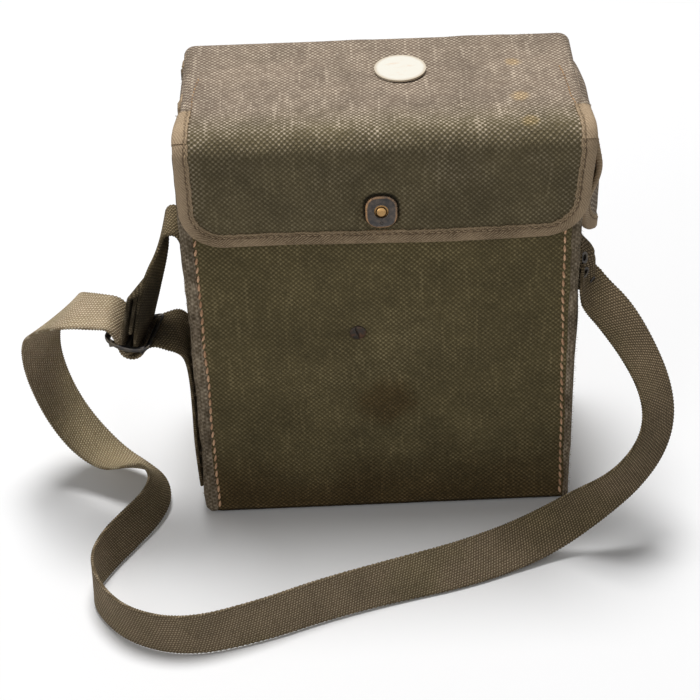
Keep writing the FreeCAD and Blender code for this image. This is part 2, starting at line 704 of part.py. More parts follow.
def arc_corners(points):
    """For each inner point of a route: the tangent arc's radius, its start, middle and end."""
    arcs = []
    for before, point, after in zip(points, points[1:], points[2:]):
        back = before - point
        ahead = after - point
        half_turn = (math.pi - back.getAngle(ahead)) / 2
        reach = ARC_SHARE * min(back.Length, ahead.Length)
        radius = reach / math.tan(half_turn)
        back_dir = Vec(back).normalize()
        ahead_dir = Vec(ahead).normalize()
        inward = (back_dir + ahead_dir).normalize()
        depth = radius / math.cos(half_turn) - radius
        arcs.append((radius, point + back_dir * reach, point + inward * depth, point + ahead_dir * reach))
    return arcs


def unit(triple):
    return Vec(*triple).normalize()


def blend(first, second, share):
    return (first * (1 - share) + second * share).normalize()


def ribbon_stations(route):
    """Centre, direction and edge direction along the straight runs and arcs of a route."""
    points = [Vec(*point) for point, edge in route]
    edges = [unit(edge) for point, edge in route]
    arcs = arc_corners(points)
    stations = [(points[0], points[1] - points[0], edges[0])]
    for i, (radius, start, middle, end) in enumerate(arcs, 1):
        incoming = points[i] - points[i - 1]
        outgoing = points[i + 1] - points[i]
        start_share = (start - points[i - 1]).Length / incoming.Length
        end_share = (end - points[i]).Length / outgoing.Length
        stations.append((start, incoming, blend(edges[i - 1], edges[i], start_share)))
        stations.append((middle, end - start, edges[i]))
        stations.append((end, outgoing, blend(edges[i], edges[i + 1], end_share)))
    stations.append((points[-1], points[-1] - points[-2], edges[-1]))
    return stations


def ribbon_section(centre, direction, edge, width, thickness):
    forward = Vec(direction).normalize()
    normal = forward.cross(edge)
    wide = edge * (width / 2 / normal.Length)
    normal.normalize()
    thick = normal * (thickness / 2)
    corners = [centre + wide + thick, centre + wide - thick, centre - wide - thick, centre - wide + thick]
    return Part.makePolygon(corners + [corners[0]])


def ribbon(route, width, thickness):
    sections = [ribbon_section(*station, width, thickness) for station in ribbon_stations(route)]
    return Part.makeLoft(sections, True, True)


def route_length(route):
    centres = [station[0] for station in ribbon_stations(route)]
    return sum((b - a).Length for a, b in zip(centres, centres[1:]))


def report_route(name, route, solid):
    length = route_length(route)
    smallest = min(arc[0] for arc in arc_corners([Vec(*point) for point, edge in route]))
    expected = length * WEBBING_WIDTH * WEBBING_THICKNESS
    print("%s: length %.0f, smallest radius %.1f, volume share %.3f"
          % (name, length, smallest, solid.Volume / expected))


def sling_strap():
    strap = ribbon(SLING_ROUTE, WEBBING_WIDTH, WEBBING_THICKNESS)
    report_route("sling", SLING_ROUTE, strap)
    return strap.cut(anchor_rivet_shanks(ANCHOR_RIVET_SHANK + FIT_GAP))


def hanger_strap():
    strap = ribbon(HANGER_ROUTE, WEBBING_WIDTH, WEBBING_THICKNESS)
    report_route("hanger", HANGER_ROUTE, strap)
    return strap


def anchor_rivet_shanks(radius):
    shanks = [rod(radius, Vec(IN_X, ANCHOR_RIVET_Y, height), Vec(2 * HALF_W, ANCHOR_RIVET_Y, height))
              for height in anchor_rivet_heights()]
    return Part.makeCompound(shanks)


def tab_frame():
    """Centre of the sling's riveted end, the way its front edge lies, and its outward normal."""
    point, edge = SLING_ROUTE[0]
    front = unit((edge[0], edge[1], 0))
    outward = Vec(-front.y, front.x, 0)
    return Vec(point[0], point[1], 0), front, outward


def anchor_tab():
    centre, front, outward = tab_frame()
    inner = WEBBING_THICKNESS / 2 + TAB_GAP
    half = WEBBING_WIDTH / 2
    corners = [centre + front * half + outward * inner, centre - front * half + outward * inner,
               centre - front * half + outward * (inner + TAB_THICKNESS),
               centre + front * half + outward * (inner + TAB_THICKNESS)]
    tab = prism([point + Z * TAB_BOTTOM for point in corners], Z * (TAB_TOP - TAB_BOTTOM))

    def rear_edge(middle):
        return middle.y > centre.y

    tab = tab.makeFillet(half / 2, edges_along(tab, outward, rear_edge))
    return tab.cut(anchor_rivet_shanks(ANCHOR_RIVET_SHANK + FIT_GAP))


def anchor_rivets():
    centre, front, outward = tab_frame()
    outer = WEBBING_THICKNESS / 2 + TAB_GAP + TAB_THICKNESS
    along = (ANCHOR_RIVET_Y - (centre + outward * outer).y) / front.y
    seat = centre + outward * outer + front * along
    rivets = []
    for height in anchor_rivet_heights():
        foot = Vec(seat.x, ANCHOR_RIVET_Y, height)
        shank = rod(ANCHOR_RIVET_SHANK, Vec(IN_X, ANCHOR_RIVET_Y, height), foot)
        head = rod(ANCHOR_RIVET_HEAD, foot, foot + outward * ANCHOR_RIVET_HEAD_HEIGHT)
        rivets.append(shank.fuse(head))
    return Part.makeCompound(rivets)


def strap_slide():
    """Three-bar slide: two rails joined by three bars, the middle one sewn into the hanger strap."""
    half = SLIDE_LENGTH / 2
    rail = SLIDE_RAIL / 2
    reach = SLIDE_HALF_WIDTH
    frame = block(-half, half, -reach - SLIDE_RAIL, -reach, -SLIDE_BAR_RADIUS, SLIDE_BAR_RADIUS)
    frame = frame.fuse(block(-half, half, reach, reach + SLIDE_RAIL, -SLIDE_BAR_RADIUS, SLIDE_BAR_RADIUS))
    frame = rounded(frame, SLIDE_END_ROUNDING, Z)
    for place in (-half + rail, 0, half - rail):
        bar = rod(SLIDE_BAR_RADIUS, Vec(place, -reach - rail, 0), Vec(place, reach + rail, 0))
        frame = frame.fuse(bar)
    frame.rotate(Vec(0, 0, 0), Y, SLIDE_TILT)
    frame.translate(Vec(*SLIDE_CENTRE))
    return frame.removeSplitter()


# ---- the chassis -------------------------------------------------------------------------

def pillar_places():
    left = COMPARTMENT_EDGE + SHEET + PILLAR_INSET
    right = PANEL_RIGHT - PILLAR_INSET + SHEET
    reach = IN_Y - PILLAR_INSET
    return [(x, y) for x in (left, right) for y in (-reach, reach)]


def chassis_base():
    base = block(COMPARTMENT_EDGE, PANEL_RIGHT + SHEET, -IN_Y + PANEL_WALL_GAP, IN_Y - PANEL_WALL_GAP,
                 BOTTOM_THICKNESS, CHASSIS_FLOOR)
    for x, y in pillar_places():
        base = base.fuse(rod(PILLAR_RADIUS, Vec(x, y, CHASSIS_FLOOR), Vec(x, y, PANEL_UNDER)))
    return base


def chassis_partition():
    return block(COMPARTMENT_EDGE, COMPARTMENT_EDGE + SHEET, -IN_Y + PANEL_WALL_GAP, IN_Y - PANEL_WALL_GAP,
                 CHASSIS_FLOOR, PANEL_UNDER)


def chassis_panel():
    plate = block(COMPARTMENT_EDGE, PANEL_RIGHT, -IN_Y + PANEL_WALL_GAP, IN_Y - PANEL_WALL_GAP,
                  PANEL_UNDER, PANEL_TOP)
    through = 2 * SHEET
    holes = [(SELECTOR_X, SELECTOR_Y, SELECTOR_STEM_RADIUS + FIT_GAP), (GLAND_X, GLAND_Y, GLAND_BORE_RADIUS)]
    for x, y, radius in holes:
        plate = plate.cut(rod(radius, Vec(x, y, PANEL_TOP - through), Vec(x, y, PANEL_TOP + through)))
    return plate


def slotted_head(radius, height, x, y, z, turn):
    head = rod(radius, Vec(x, y, z), Vec(x, y, z + height))
    head = head.makeChamfer(height / 4, circles_beyond(head, Vec(x, y, z), Z))
    slot = block(-radius, radius, -SLOT_WIDTH / 2, SLOT_WIDTH / 2, 0, SLOT_DEPTH)
    slot.rotate(Vec(0, 0, 0), Z, turn)
    slot.translate(Vec(x, y, z + height - SLOT_DEPTH))
    return head.cut(slot)


def panel_screws():
    return Part.makeCompound([slotted_head(PANEL_SCREW_RADIUS, PANEL_SCREW_HEAD, x, y, PANEL_TOP, turn)
                              for (x, y), turn in zip(pillar_places(), PANEL_SCREW_TURNS)])


# ---- the hand generator ------------------------------------------------------------------

def involute_angle(base, radius):
    if radius <= base:
        return 0.0
    slope = math.sqrt((radius / base) ** 2 - 1)
    return slope - math.atan(slope)


def toothed_wheel(teeth, width, x, y, z, turn):
    """Spur wheel about the X axis, its flanks short involutes, `turn` in degrees from +Z."""
    pitch = GEAR_MODULE * teeth / 2
    base = pitch * math.cos(math.radians(PRESSURE_ANGLE))
    root = pitch - DEDENDUM_SHARE * GEAR_MODULE
    tip = pitch + ADDENDUM_SHARE * GEAR_MODULE
    half_pitch_angle = TOOTH_THICKNESS_SHARE * math.pi / teeth
    start = max(base, root)
    radii = [root, start, pitch, tip] if start > root else [root, pitch, (pitch + tip) / 2, tip]
    points = []
    for tooth in range(teeth):
        middle = math.radians(turn) + tooth * 2 * math.pi / teeth
        offsets = [half_pitch_angle + involute_angle(base, pitch) - involute_angle(base, r) for r in radii]
        flank = list(zip(radii, offsets))
        for radius, offset in flank:
            points.append((radius, middle - offset))
        for radius, offset in reversed(flank):
            points.append((radius, middle + offset))
    corners = [Vec(x, y + r * math.sin(a), z + r * math.cos(a)) for r, a in points]
    return prism(corners, X * width)


def generator_plate(x):
    plate = block(x, x + FRAME_PLATE, CRANK_Y - FRAME_HALF_DEPTH, CRANK_Y + FRAME_HALF_DEPTH,
                  FRAME_BOTTOM, PANEL_UNDER)
    plate = plate.cut(rod(CRANK_SHAFT_RADIUS + FIT_GAP, Vec(x, CRANK_Y, CRANK_HEIGHT),
                          Vec(x + FRAME_PLATE, CRANK_Y, CRANK_HEIGHT)))
    return plate.cut(rod(SPINDLE_RADIUS + FIT_GAP, Vec(x, CRANK_Y, ARMATURE_Z),
                         Vec(x + FRAME_PLATE, CRANK_Y, ARMATURE_Z)))


def generator_frame():
    return Part.makeCompound([generator_plate(FRAME_LEFT_X), generator_plate(FRAME_RIGHT_X)])


def magnet_reach():
    return ARMATURE_RADIUS + ARMATURE_AIR_GAP + POLE_THICKNESS


def generator_magnets():
    inner = magnet_reach()
    outer = inner + MAGNET_LIMB
    spring = CRANK_HEIGHT + MAGNET_ARCH_RISE - inner
    foot = ARMATURE_Z - POLE_HEIGHT / 2
    run = FRAME_RIGHT_X - FRAME_LEFT_X - FRAME_PLATE
    first = FRAME_LEFT_X + FRAME_PLATE + (run - MAGNET_PITCH * (MAGNET_COUNT - 1) - MAGNET_LENGTH) / 2
    magnets = []
    for i in range(MAGNET_COUNT):
        x = first + MAGNET_PITCH * i
        body = block(x, x + MAGNET_LENGTH, CRANK_Y - outer, CRANK_Y + outer, foot, spring)
        body = body.fuse(rod(outer, Vec(x, CRANK_Y, spring), Vec(x + MAGNET_LENGTH, CRANK_Y, spring)))
        gap = block(x, x + MAGNET_LENGTH, CRANK_Y - inner, CRANK_Y + inner, foot - outer, spring)
        gap = gap.fuse(rod(inner, Vec(x, CRANK_Y, spring), Vec(x + MAGNET_LENGTH, CRANK_Y, spring)))
        magnets.append(body.cut(gap).removeSplitter())
    return Part.makeCompound(magnets)


def pole_shoes():
    start = FRAME_LEFT_X + FRAME_PLATE
    end = FRAME_RIGHT_X
    reach = magnet_reach()
    low = ARMATURE_Z - POLE_HEIGHT / 2
    bore = rod(ARMATURE_RADIUS + ARMATURE_AIR_GAP, Vec(start, CRANK_Y, ARMATURE_Z),
               Vec(end, CRANK_Y, ARMATURE_Z))
    shoes = []
    for side in (-1, 1):
        near = CRANK_Y + side * POLE_INSET
        far = CRANK_Y + side * reach
        shoe = block(start, end, min(near, far), max(near, far), low, low + POLE_HEIGHT)
        shoes.append(shoe.cut(bore))
    return Part.makeCompound(shoes)


def armature():
    start = FRAME_LEFT_X + FRAME_PLATE + ARMATURE_END_GAP
    end = FRAME_RIGHT_X - ARMATURE_END_GAP
    core = rod(ARMATURE_RADIUS, Vec(start, CRANK_Y, ARMATURE_Z), Vec(end, CRANK_Y, ARMATURE_Z))
    for side in (-1, 1):
        slot = block(start, end, CRANK_Y - ARMATURE_SLOT_WIDTH / 2, CRANK_Y + ARMATURE_SLOT_WIDTH / 2,
                     ARMATURE_Z + ARMATURE_WEB / 2, ARMATURE_Z + ARMATURE_RADIUS)
        if side < 0:
            slot.translate(Z * -(ARMATURE_WEB / 2 + ARMATURE_RADIUS))
        core = core.cut(slot)
    spindle = rod(SPINDLE_RADIUS, Vec(SPINDLE_START_X, CRANK_Y, ARMATURE_Z),
                  Vec(GEAR_X + GEAR_WIDTH + PINION_EXTRA_WIDTH, CRANK_Y, ARMATURE_Z))
    return core.fuse(spindle).removeSplitter()


def armature_pinion():
    wheel = toothed_wheel(PINION_TEETH, GEAR_WIDTH + PINION_EXTRA_WIDTH, GEAR_X - PINION_EXTRA_WIDTH / 2,
                          CRANK_Y, ARMATURE_Z, 0)
    bore = rod(SPINDLE_RADIUS + FIT_GAP / 2, Vec(GEAR_X - GEAR_WIDTH, CRANK_Y, ARMATURE_Z),
               Vec(GEAR_X + 2 * GEAR_WIDTH, CRANK_Y, ARMATURE_Z))
    return wheel.cut(bore)


def drive_gear():
    half_tooth = HALF_TURN / GEAR_TEETH
    wheel = toothed_wheel(GEAR_TEETH, GEAR_WIDTH, GEAR_X, CRANK_Y, CRANK_HEIGHT, HALF_TURN + half_tooth)
    bore = rod(CRANK_SHAFT_RADIUS + FIT_GAP / 2, Vec(GEAR_X - GEAR_WIDTH, CRANK_Y, CRANK_HEIGHT),
               Vec(GEAR_X + 2 * GEAR_WIDTH, CRANK_Y, CRANK_HEIGHT))
    return wheel.cut(bore)


def crank_shaft():
    return rod(CRANK_SHAFT_RADIUS, Vec(SHAFT_START_X, CRANK_Y, CRANK_HEIGHT),
               Vec(ARM_START_X, CRANK_Y, CRANK_HEIGHT))


def crank_arm():
    hub = rod(ARM_HUB_RADIUS, Vec(ARM_START_X, CRANK_Y, CRANK_HEIGHT), Vec(ARM_OUT_X, CRANK_Y, CRANK_HEIGHT))
    foot = CRANK_HEIGHT - ARM_TIP_RADIUS
    bar = block(ARM_START_X, ARM_OUT_X, CRANK_Y - ARM_HALF_WIDTH, CRANK_Y + ARM_HALF_WIDTH,
                foot - ARM_LUG_LENGTH, CRANK_HEIGHT)
    lug = block(ARM_START_X, KNOB_AXIS_X + ARM_THICKNESS, CRANK_Y - ARM_HALF_WIDTH, CRANK_Y + ARM_HALF_WIDTH,
                foot - ARM_LUG_LENGTH, foot)
    spindle = rod(KNOB_SPINDLE_RADIUS, Vec(KNOB_AXIS_X, CRANK_Y, foot),
                  Vec(KNOB_AXIS_X, CRANK_Y, CRANK_HEIGHT - KNOB_START_RADIUS))
    return hub.fuse(bar).fuse(lug).fuse(spindle).removeSplitter()


def crank_knob():
    low = CRANK_HEIGHT - ARM_TIP_RADIUS + KNOB_END_GAP
    high = CRANK_HEIGHT - KNOB_START_RADIUS
    grip = rod(KNOB_RADIUS, Vec(KNOB_AXIS_X, CRANK_Y, low), Vec(KNOB_AXIS_X, CRANK_Y, high))
    grip = grip.makeFillet(KNOB_RADIUS / 3, circles_beyond(grip, Vec(0, 0, 0), Z))
    bore = rod(KNOB_SPINDLE_RADIUS + FIT_GAP, Vec(KNOB_AXIS_X, CRANK_Y, low - KNOB_RADIUS),
               Vec(KNOB_AXIS_X, CRANK_Y, high + KNOB_RADIUS))
    return grip.cut(bore)


# ---- the ringer --------------------------------------------------------------------------

def coil_places():
    return (RINGER_X - COIL_SPACING / 2, RINGER_X + COIL_SPACING / 2)


def gong_places():
    return (RINGER_X - GONG_SPACING / 2, RINGER_X + GONG_SPACING / 2)


def ringer_yoke():
    back = RINGER_PLATE_Y + SHEET
    low = block(RINGER_X - RINGER_PLATE_HALF, RINGER_X + RINGER_PLATE_HALF, RINGER_PLATE_Y, back,
                CHASSIS_FLOOR, RINGER_PLATE_LOW_TOP)
    neck = block(RINGER_X - RINGER_NECK_HALF, RINGER_X + RINGER_NECK_HALF, RINGER_PLATE_Y, back,
                 CHASSIS_FLOOR, YOKE_HEIGHT)
    top = block(RINGER_X - YOKE_HALF, RINGER_X + YOKE_HALF, YOKE_FRONT, back,
                YOKE_HEIGHT, YOKE_HEIGHT + SHEET)
    yoke = low.fuse(neck).fuse(top)
    for x in gong_places():
        post = rod(GONG_POST_RADIUS, Vec(x, GONG_FRONT + GONG_SHELL, GONG_HEIGHT),
                   Vec(x, RINGER_PLATE_Y, GONG_HEIGHT))
        yoke = yoke.fuse(post)
    pin = rod(BAR_PIVOT_RADIUS, Vec(RINGER_X, COIL_Y - BAR_HALF_DEPTH, BAR_PIVOT_Z),
              Vec(RINGER_X, RINGER_PLATE_Y, BAR_PIVOT_Z))
    return yoke.fuse(pin).removeSplitter()


def ringer_coil(x):
    low = YOKE_HEIGHT - COIL_LENGTH
    winding = rod(COIL_RADIUS - COIL_FLANGE, Vec(x, COIL_Y, low), Vec(x, COIL_Y, YOKE_HEIGHT))
    lower = rod(COIL_RADIUS, Vec(x, COIL_Y, low), Vec(x, COIL_Y, low + COIL_FLANGE))
    upper = rod(COIL_RADIUS, Vec(x, COIL_Y, YOKE_HEIGHT - COIL_FLANGE), Vec(x, COIL_Y, YOKE_HEIGHT))
    core = rod(CORE_RADIUS, Vec(x, COIL_Y, low - CORE_PROUD), Vec(x, COIL_Y, low))
    return winding.fuse(lower).fuse(upper).fuse(core).removeSplitter()


def clapper():
    bar = block(RINGER_X - BAR_HALF, RINGER_X + BAR_HALF, COIL_Y - BAR_HALF_DEPTH, COIL_Y + BAR_HALF_DEPTH,
                BAR_TOP_Z - BAR_THICKNESS, BAR_TOP_Z)
    hub = rod(BAR_HUB_RADIUS, Vec(RINGER_X, COIL_Y - BAR_HALF_DEPTH, BAR_PIVOT_Z),
              Vec(RINGER_X, COIL_Y + BAR_HALF_DEPTH, BAR_PIVOT_Z))
    ball_y = GONG_FRONT + GONG_DEPTH / 2
    arm = block(RINGER_X - CLAPPER_ROD_RADIUS, RINGER_X + CLAPPER_ROD_RADIUS, ball_y - CLAPPER_ROD_RADIUS,
                COIL_Y - BAR_HALF_DEPTH, BAR_PIVOT_Z - BAR_HUB_RADIUS, BAR_PIVOT_Z + BAR_PIVOT_RADIUS)
    stem = rod(CLAPPER_ROD_RADIUS, Vec(RINGER_X, ball_y, BAR_PIVOT_Z), Vec(RINGER_X, ball_y, GONG_HEIGHT))
    ball = Part.makeSphere(CLAPPER_RADIUS, Vec(RINGER_X, ball_y, GONG_HEIGHT))
    hole = rod(BAR_PIVOT_RADIUS + FIT_GAP, Vec(RINGER_X, COIL_Y - BAR_HALF_DEPTH, BAR_PIVOT_Z),
               Vec(RINGER_X, COIL_Y + BAR_HALF_DEPTH, BAR_PIVOT_Z))
    return bar.fuse(hub).cut(hole).fuse(arm).fuse(stem).fuse(ball)


def gong(x):
    cup = rod(GONG_RADIUS, Vec(x, GONG_FRONT, GONG_HEIGHT), Vec(x, GONG_FRONT + GONG_DEPTH, GONG_HEIGHT))
    middle = Vec(x, GONG_FRONT + GONG_DEPTH / 2, GONG_HEIGHT)
    cup = cup.makeFillet(GONG_DEPTH / 2, circles_beyond(cup, middle, -Y))
    hollow = rod(GONG_RADIUS - GONG_SHELL, Vec(x, GONG_FRONT + GONG_SHELL, GONG_HEIGHT),
                 Vec(x, GONG_FRONT + GONG_DEPTH + GONG_SHELL, GONG_HEIGHT))
    hollow = hollow.makeFillet(GONG_DEPTH / 2 - GONG_SHELL / 2, circles_beyond(hollow, middle, -Y))
    hole = rod(GONG_SCREW_RADIUS / 2, Vec(x, GONG_FRONT - GONG_SHELL, GONG_HEIGHT),
               Vec(x, GONG_FRONT + GONG_SHELL, GONG_HEIGHT))
    return cup.cut(hollow).cut(hole)


def gong_screws():
    screws = []
    for x in gong_places():
        face = Vec(x, GONG_FRONT, GONG_HEIGHT)
        head = rod(GONG_SCREW_RADIUS, face, face - Y * GONG_SCREW_HEAD)
        shank = rod(GONG_SCREW_RADIUS / 2 - FIT_GAP, face, face + Y * GONG_SHELL)
        screws.append(head.fuse(shank))
    return Part.makeCompound(screws)


# ---- batteries and electrical parts ------------------------------------------------------

def cell_base(index):
    return CHASSIS_FLOOR + CELL_FLOOR + index * (CELL_LENGTH + CELL_NUB_HEIGHT)


def battery_cell(index):
    low = cell_base(index)
    can = rod(CELL_RADIUS, Vec(CELL_X, CELL_Y, low), Vec(CELL_X, CELL_Y, low + CELL_LENGTH))
    nub = rod(CELL_NUB_RADIUS, Vec(CELL_X, CELL_Y, low + CELL_LENGTH),
              Vec(CELL_X, CELL_Y, low + CELL_LENGTH + CELL_NUB_HEIGHT))
    return can.fuse(nub)


def tray_top():
    return cell_base(2) + CONTACT_SPRING_RISE


def contact_spring():
    top = tray_top()
    low = cell_base(2)
    half = CONTACT_SPRING_HALF
    t = CONTACT_SPRING_THICKNESS
    points = [Vec(CELL_X - half, CELL_Y - half, top), Vec(CELL_X - half, CELL_Y - half, top - t),
              Vec(CELL_X, CELL_Y - half, low), Vec(CELL_X + t, CELL_Y - half, low),
              Vec(CELL_X - half + 2 * t, CELL_Y - half, top - t), Vec(CELL_X + half, CELL_Y - half, top - t),
              Vec(CELL_X + half, CELL_Y - half, top)]
    return prism(points, Y * 2 * half)


def battery_tray():
    inner = CELL_RADIUS + CELL_TRAY_GAP
    outer = inner + CELL_TRAY_WALL
    top = tray_top() + CELL_FLOOR
    tube = rod(outer, Vec(CELL_X, CELL_Y, CHASSIS_FLOOR), Vec(CELL_X, CELL_Y, top))
    hollow = rod(inner, Vec(CELL_X, CELL_Y, cell_base(0)), Vec(CELL_X, CELL_Y, tray_top()))
    mouth = block(CELL_X - TRAY_OPEN_HALF, CELL_X + TRAY_OPEN_HALF, CELL_Y - 2 * outer, CELL_Y,
                  cell_base(0), tray_top())
    return tube.cut(hollow).cut(mouth).fuse(contact_spring())


def induction_coil():
    middle = PANEL_UNDER - INDUCTION_CHEEK / 2
    half = INDUCTION_CHEEK / 2
    coil = rod(INDUCTION_RADIUS, Vec(INDUCTION_LEFT, INDUCTION_Y, middle),
               Vec(INDUCTION_RIGHT, INDUCTION_Y, middle))
    for x in (INDUCTION_LEFT, INDUCTION_RIGHT - INDUCTION_CHEEK_THICKNESS):
        cheek = block(x, x + INDUCTION_CHEEK_THICKNESS, INDUCTION_Y - half, INDUCTION_Y + half,
                      PANEL_UNDER - INDUCTION_CHEEK, PANEL_UNDER)
        coil = coil.fuse(cheek)
    return coil.removeSplitter()


def capacitor():
    can = block(CAPACITOR_LEFT, CAPACITOR_RIGHT, CAPACITOR_FRONT, CAPACITOR_BACK,
                PANEL_UNDER - CAPACITOR_HEIGHT, PANEL_UNDER)
    return rounded(can, CAPACITOR_CORNER, Z)


# ---- fittings on the panel ---------------------------------------------------------------

def post_bases():
    bases = []
    for x in POST_X:
        base = rod(POST_BASE_RADIUS, Vec(x, POST_Y, PANEL_TOP), Vec(x, POST_Y, PANEL_TOP + POST_BASE_HEIGHT))
        base = base.makeFillet(POST_BASE_HEIGHT / 5, circles_beyond(base, Vec(x, POST_Y, PANEL_TOP), Z))
        bore = rod(POST_STEM_RADIUS + FIT_GAP, Vec(x, POST_Y, PANEL_TOP + FIT_GAP),
                   Vec(x, POST_Y, PANEL_TOP + 2 * POST_BASE_HEIGHT))
        bases.append(base.cut(bore))
    return Part.makeCompound(bases)


def post_plunger(x):
    head_low = PANEL_TOP + POST_BASE_HEIGHT + POST_TRAVEL + SEAT_GAP
    stem_low = PANEL_TOP + POST_TRAVEL + SEAT_GAP
    stem = rod(POST_STEM_RADIUS, Vec(x, POST_Y, stem_low), Vec(x, POST_Y, head_low))
    head = rod(POST_HEAD_RADIUS, Vec(x, POST_Y, head_low), Vec(x, POST_Y, head_low + POST_HEAD_HEIGHT))
    head = head.makeChamfer(POST_HEAD_HEIGHT / 5, circles_beyond(head, Vec(x, POST_Y, 0), Z))
    wire_height = head_low - POST_WIRE_RADIUS - SEAT_GAP
    wire = rod(POST_WIRE_RADIUS, Vec(x - POST_HEAD_RADIUS, POST_Y, wire_height),
               Vec(x + POST_HEAD_RADIUS, POST_Y, wire_height))
    return stem.fuse(head).cut(wire)


def selector_screw():
    seat = PANEL_TOP + FIT_GAP
    head = slotted_head(SELECTOR_HEAD_RADIUS, SELECTOR_HEAD_HEIGHT, SELECTOR_X, SELECTOR_Y, seat, 0)
    stem = rod(SELECTOR_STEM_RADIUS, Vec(SELECTOR_X, SELECTOR_Y, PANEL_TOP - SELECTOR_STEM_LENGTH),
               Vec(SELECTOR_X, SELECTOR_Y, seat))
    return head.fuse(stem)


def lever_bracket():
    half = LEVER_WIDTH / 2 + SEAT_GAP
    pivot = PANEL_TOP + LEVER_PIVOT_RISE
    depth = LEVER_HUB_RADIUS
    bracket = rod(LEVER_PIN_RADIUS, Vec(LEVER_X - half - LEVER_EAR, LEVER_Y, pivot),
                  Vec(LEVER_X + half + LEVER_EAR, LEVER_Y, pivot))
    for start in (LEVER_X - half - LEVER_EAR, LEVER_X + half):
        ear = block(start, start + LEVER_EAR, LEVER_Y - depth, LEVER_Y + depth, PANEL_TOP, pivot + depth)
        bracket = bracket.fuse(ear)
    return bracket.removeSplitter()


def lever_switch():
    half = LEVER_WIDTH / 2
    pivot = PANEL_TOP + LEVER_PIVOT_RISE
    hub = rod(LEVER_HUB_RADIUS, Vec(LEVER_X - half, LEVER_Y, pivot), Vec(LEVER_X + half, LEVER_Y, pivot))
    stem = rod(LEVER_STEM_RADIUS, Vec(LEVER_X, LEVER_Y, pivot), Vec(LEVER_X, LEVER_Y, pivot + LEVER_REACH))
    tip = Part.makeSphere(LEVER_TIP_RADIUS, Vec(LEVER_X, LEVER_Y, pivot + LEVER_REACH))
    hole = rod(LEVER_PIN_RADIUS + FIT_GAP, Vec(LEVER_X - half, LEVER_Y, pivot),
               Vec(LEVER_X + half, LEVER_Y, pivot))
    return hub.fuse(stem).cut(hole).fuse(tip)


def cord_gland():
    ring = rod(GLAND_RADIUS, Vec(GLAND_X, GLAND_Y, PANEL_TOP),
               Vec(GLAND_X, GLAND_Y, PANEL_TOP + GLAND_HEIGHT))
    ring = ring.makeFillet(GLAND_HEIGHT / 3, circles_beyond(ring, Vec(GLAND_X, GLAND_Y, PANEL_TOP), Z))
    return ring.cut(rod(GLAND_BORE_RADIUS, Vec(GLAND_X, GLAND_Y, PANEL_UNDER),
                        Vec(GLAND_X, GLAND_Y, PANEL_TOP + 2 * GLAND_HEIGHT)))


# ---- the handset -------------------------------------------------------------------------

def switch_pocket():
    half = SWITCH_HALF_WIDTH + SEAT_GAP
    depth = SWITCH_SEAT + SWITCH_TRAVEL + SEAT_GAP
    return block(HANDSET_X - half, HANDSET_X + half, GRIP_FRONT, GRIP_FRONT + depth,
                 SWITCH_LOW_Z - SEAT_GAP, SWITCH_LOW_Z + SWITCH_LENGTH + SEAT_GAP)


def handset_head(radius, z):
    head = rod(radius, Vec(HANDSET_X, HANDSET_FACE_Y, z), Vec(HANDSET_X, GRIP_BACK, z))
    return head.makeFillet(HEAD_BACK_DOME, circles_beyond(head, Vec(HANDSET_X, GRIP_FRONT, z), Y))


def handset_grip():
    spine = block(HANDSET_X - GRIP_HALF_WIDTH, HANDSET_X + GRIP_HALF_WIDTH, GRIP_FRONT, GRIP_BACK,
                  TRANSMITTER_Z, RECEIVER_Z)
    spine = rounded(spine, GRIP_ROUNDING, Z)
    spine = spine.cut(switch_pocket())
    return spine.fuse(handset_head(RECEIVER_HEAD_RADIUS, RECEIVER_Z)).fuse(
        handset_head(TRANSMITTER_HEAD_RADIUS, TRANSMITTER_Z)).removeSplitter()


def handset_cap(radius, depth, z):
    """Screwed cap with a dished face and a ring of sound holes round a middle one."""
    face = HANDSET_FACE_Y - depth
    cap = Part.makeCone(radius - CAP_FLARE, radius, depth - CAP_FLARE, Vec(HANDSET_X, face, z), Y)
    rim = rod(radius, Vec(HANDSET_X, HANDSET_FACE_Y - CAP_FLARE, z), Vec(HANDSET_X, HANDSET_FACE_Y, z))
    dish = Part.makeCone(radius - 2 * CAP_FLARE, CAP_HOLE_CIRCLE, CAP_DISH_DEPTH, Vec(HANDSET_X, face, z), Y)
    cap = cap.fuse(rim).cut(dish)
    ring = CAP_HOLE_CIRCLE * CAP_HOLE_SPREAD
    for i in range(CAP_HOLE_COUNT):
        turn = 2 * math.pi * i / CAP_HOLE_COUNT
        place = Vec(HANDSET_X + ring * math.cos(turn), face, z + ring * math.sin(turn))
        cap = cap.cut(rod(CAP_HOLE_RADIUS, place, place + Y * (CAP_DISH_DEPTH + CAP_FLARE / 2)))
    return cap


def receiver_cap():
    return handset_cap(RECEIVER_CAP_RADIUS, RECEIVER_CAP_DEPTH, RECEIVER_Z)


def transmitter_cap():
    return handset_cap(TRANSMITTER_CAP_RADIUS, TRANSMITTER_CAP_DEPTH, TRANSMITTER_Z)


def talk_switch():
    bar = block(HANDSET_X - SWITCH_HALF_WIDTH, HANDSET_X + SWITCH_HALF_WIDTH, GRIP_FRONT - SWITCH_PROUD,
                GRIP_FRONT + SWITCH_SEAT, SWITCH_LOW_Z, SWITCH_LOW_Z + SWITCH_LENGTH)

    def at_front(middle):
        return middle.y < GRIP_FRONT

    return bar.makeFillet(SWITCH_PROUD / 2, edges_along(bar, Z, at_front))


# ---- every piece and its file ------------------------------------------------------------

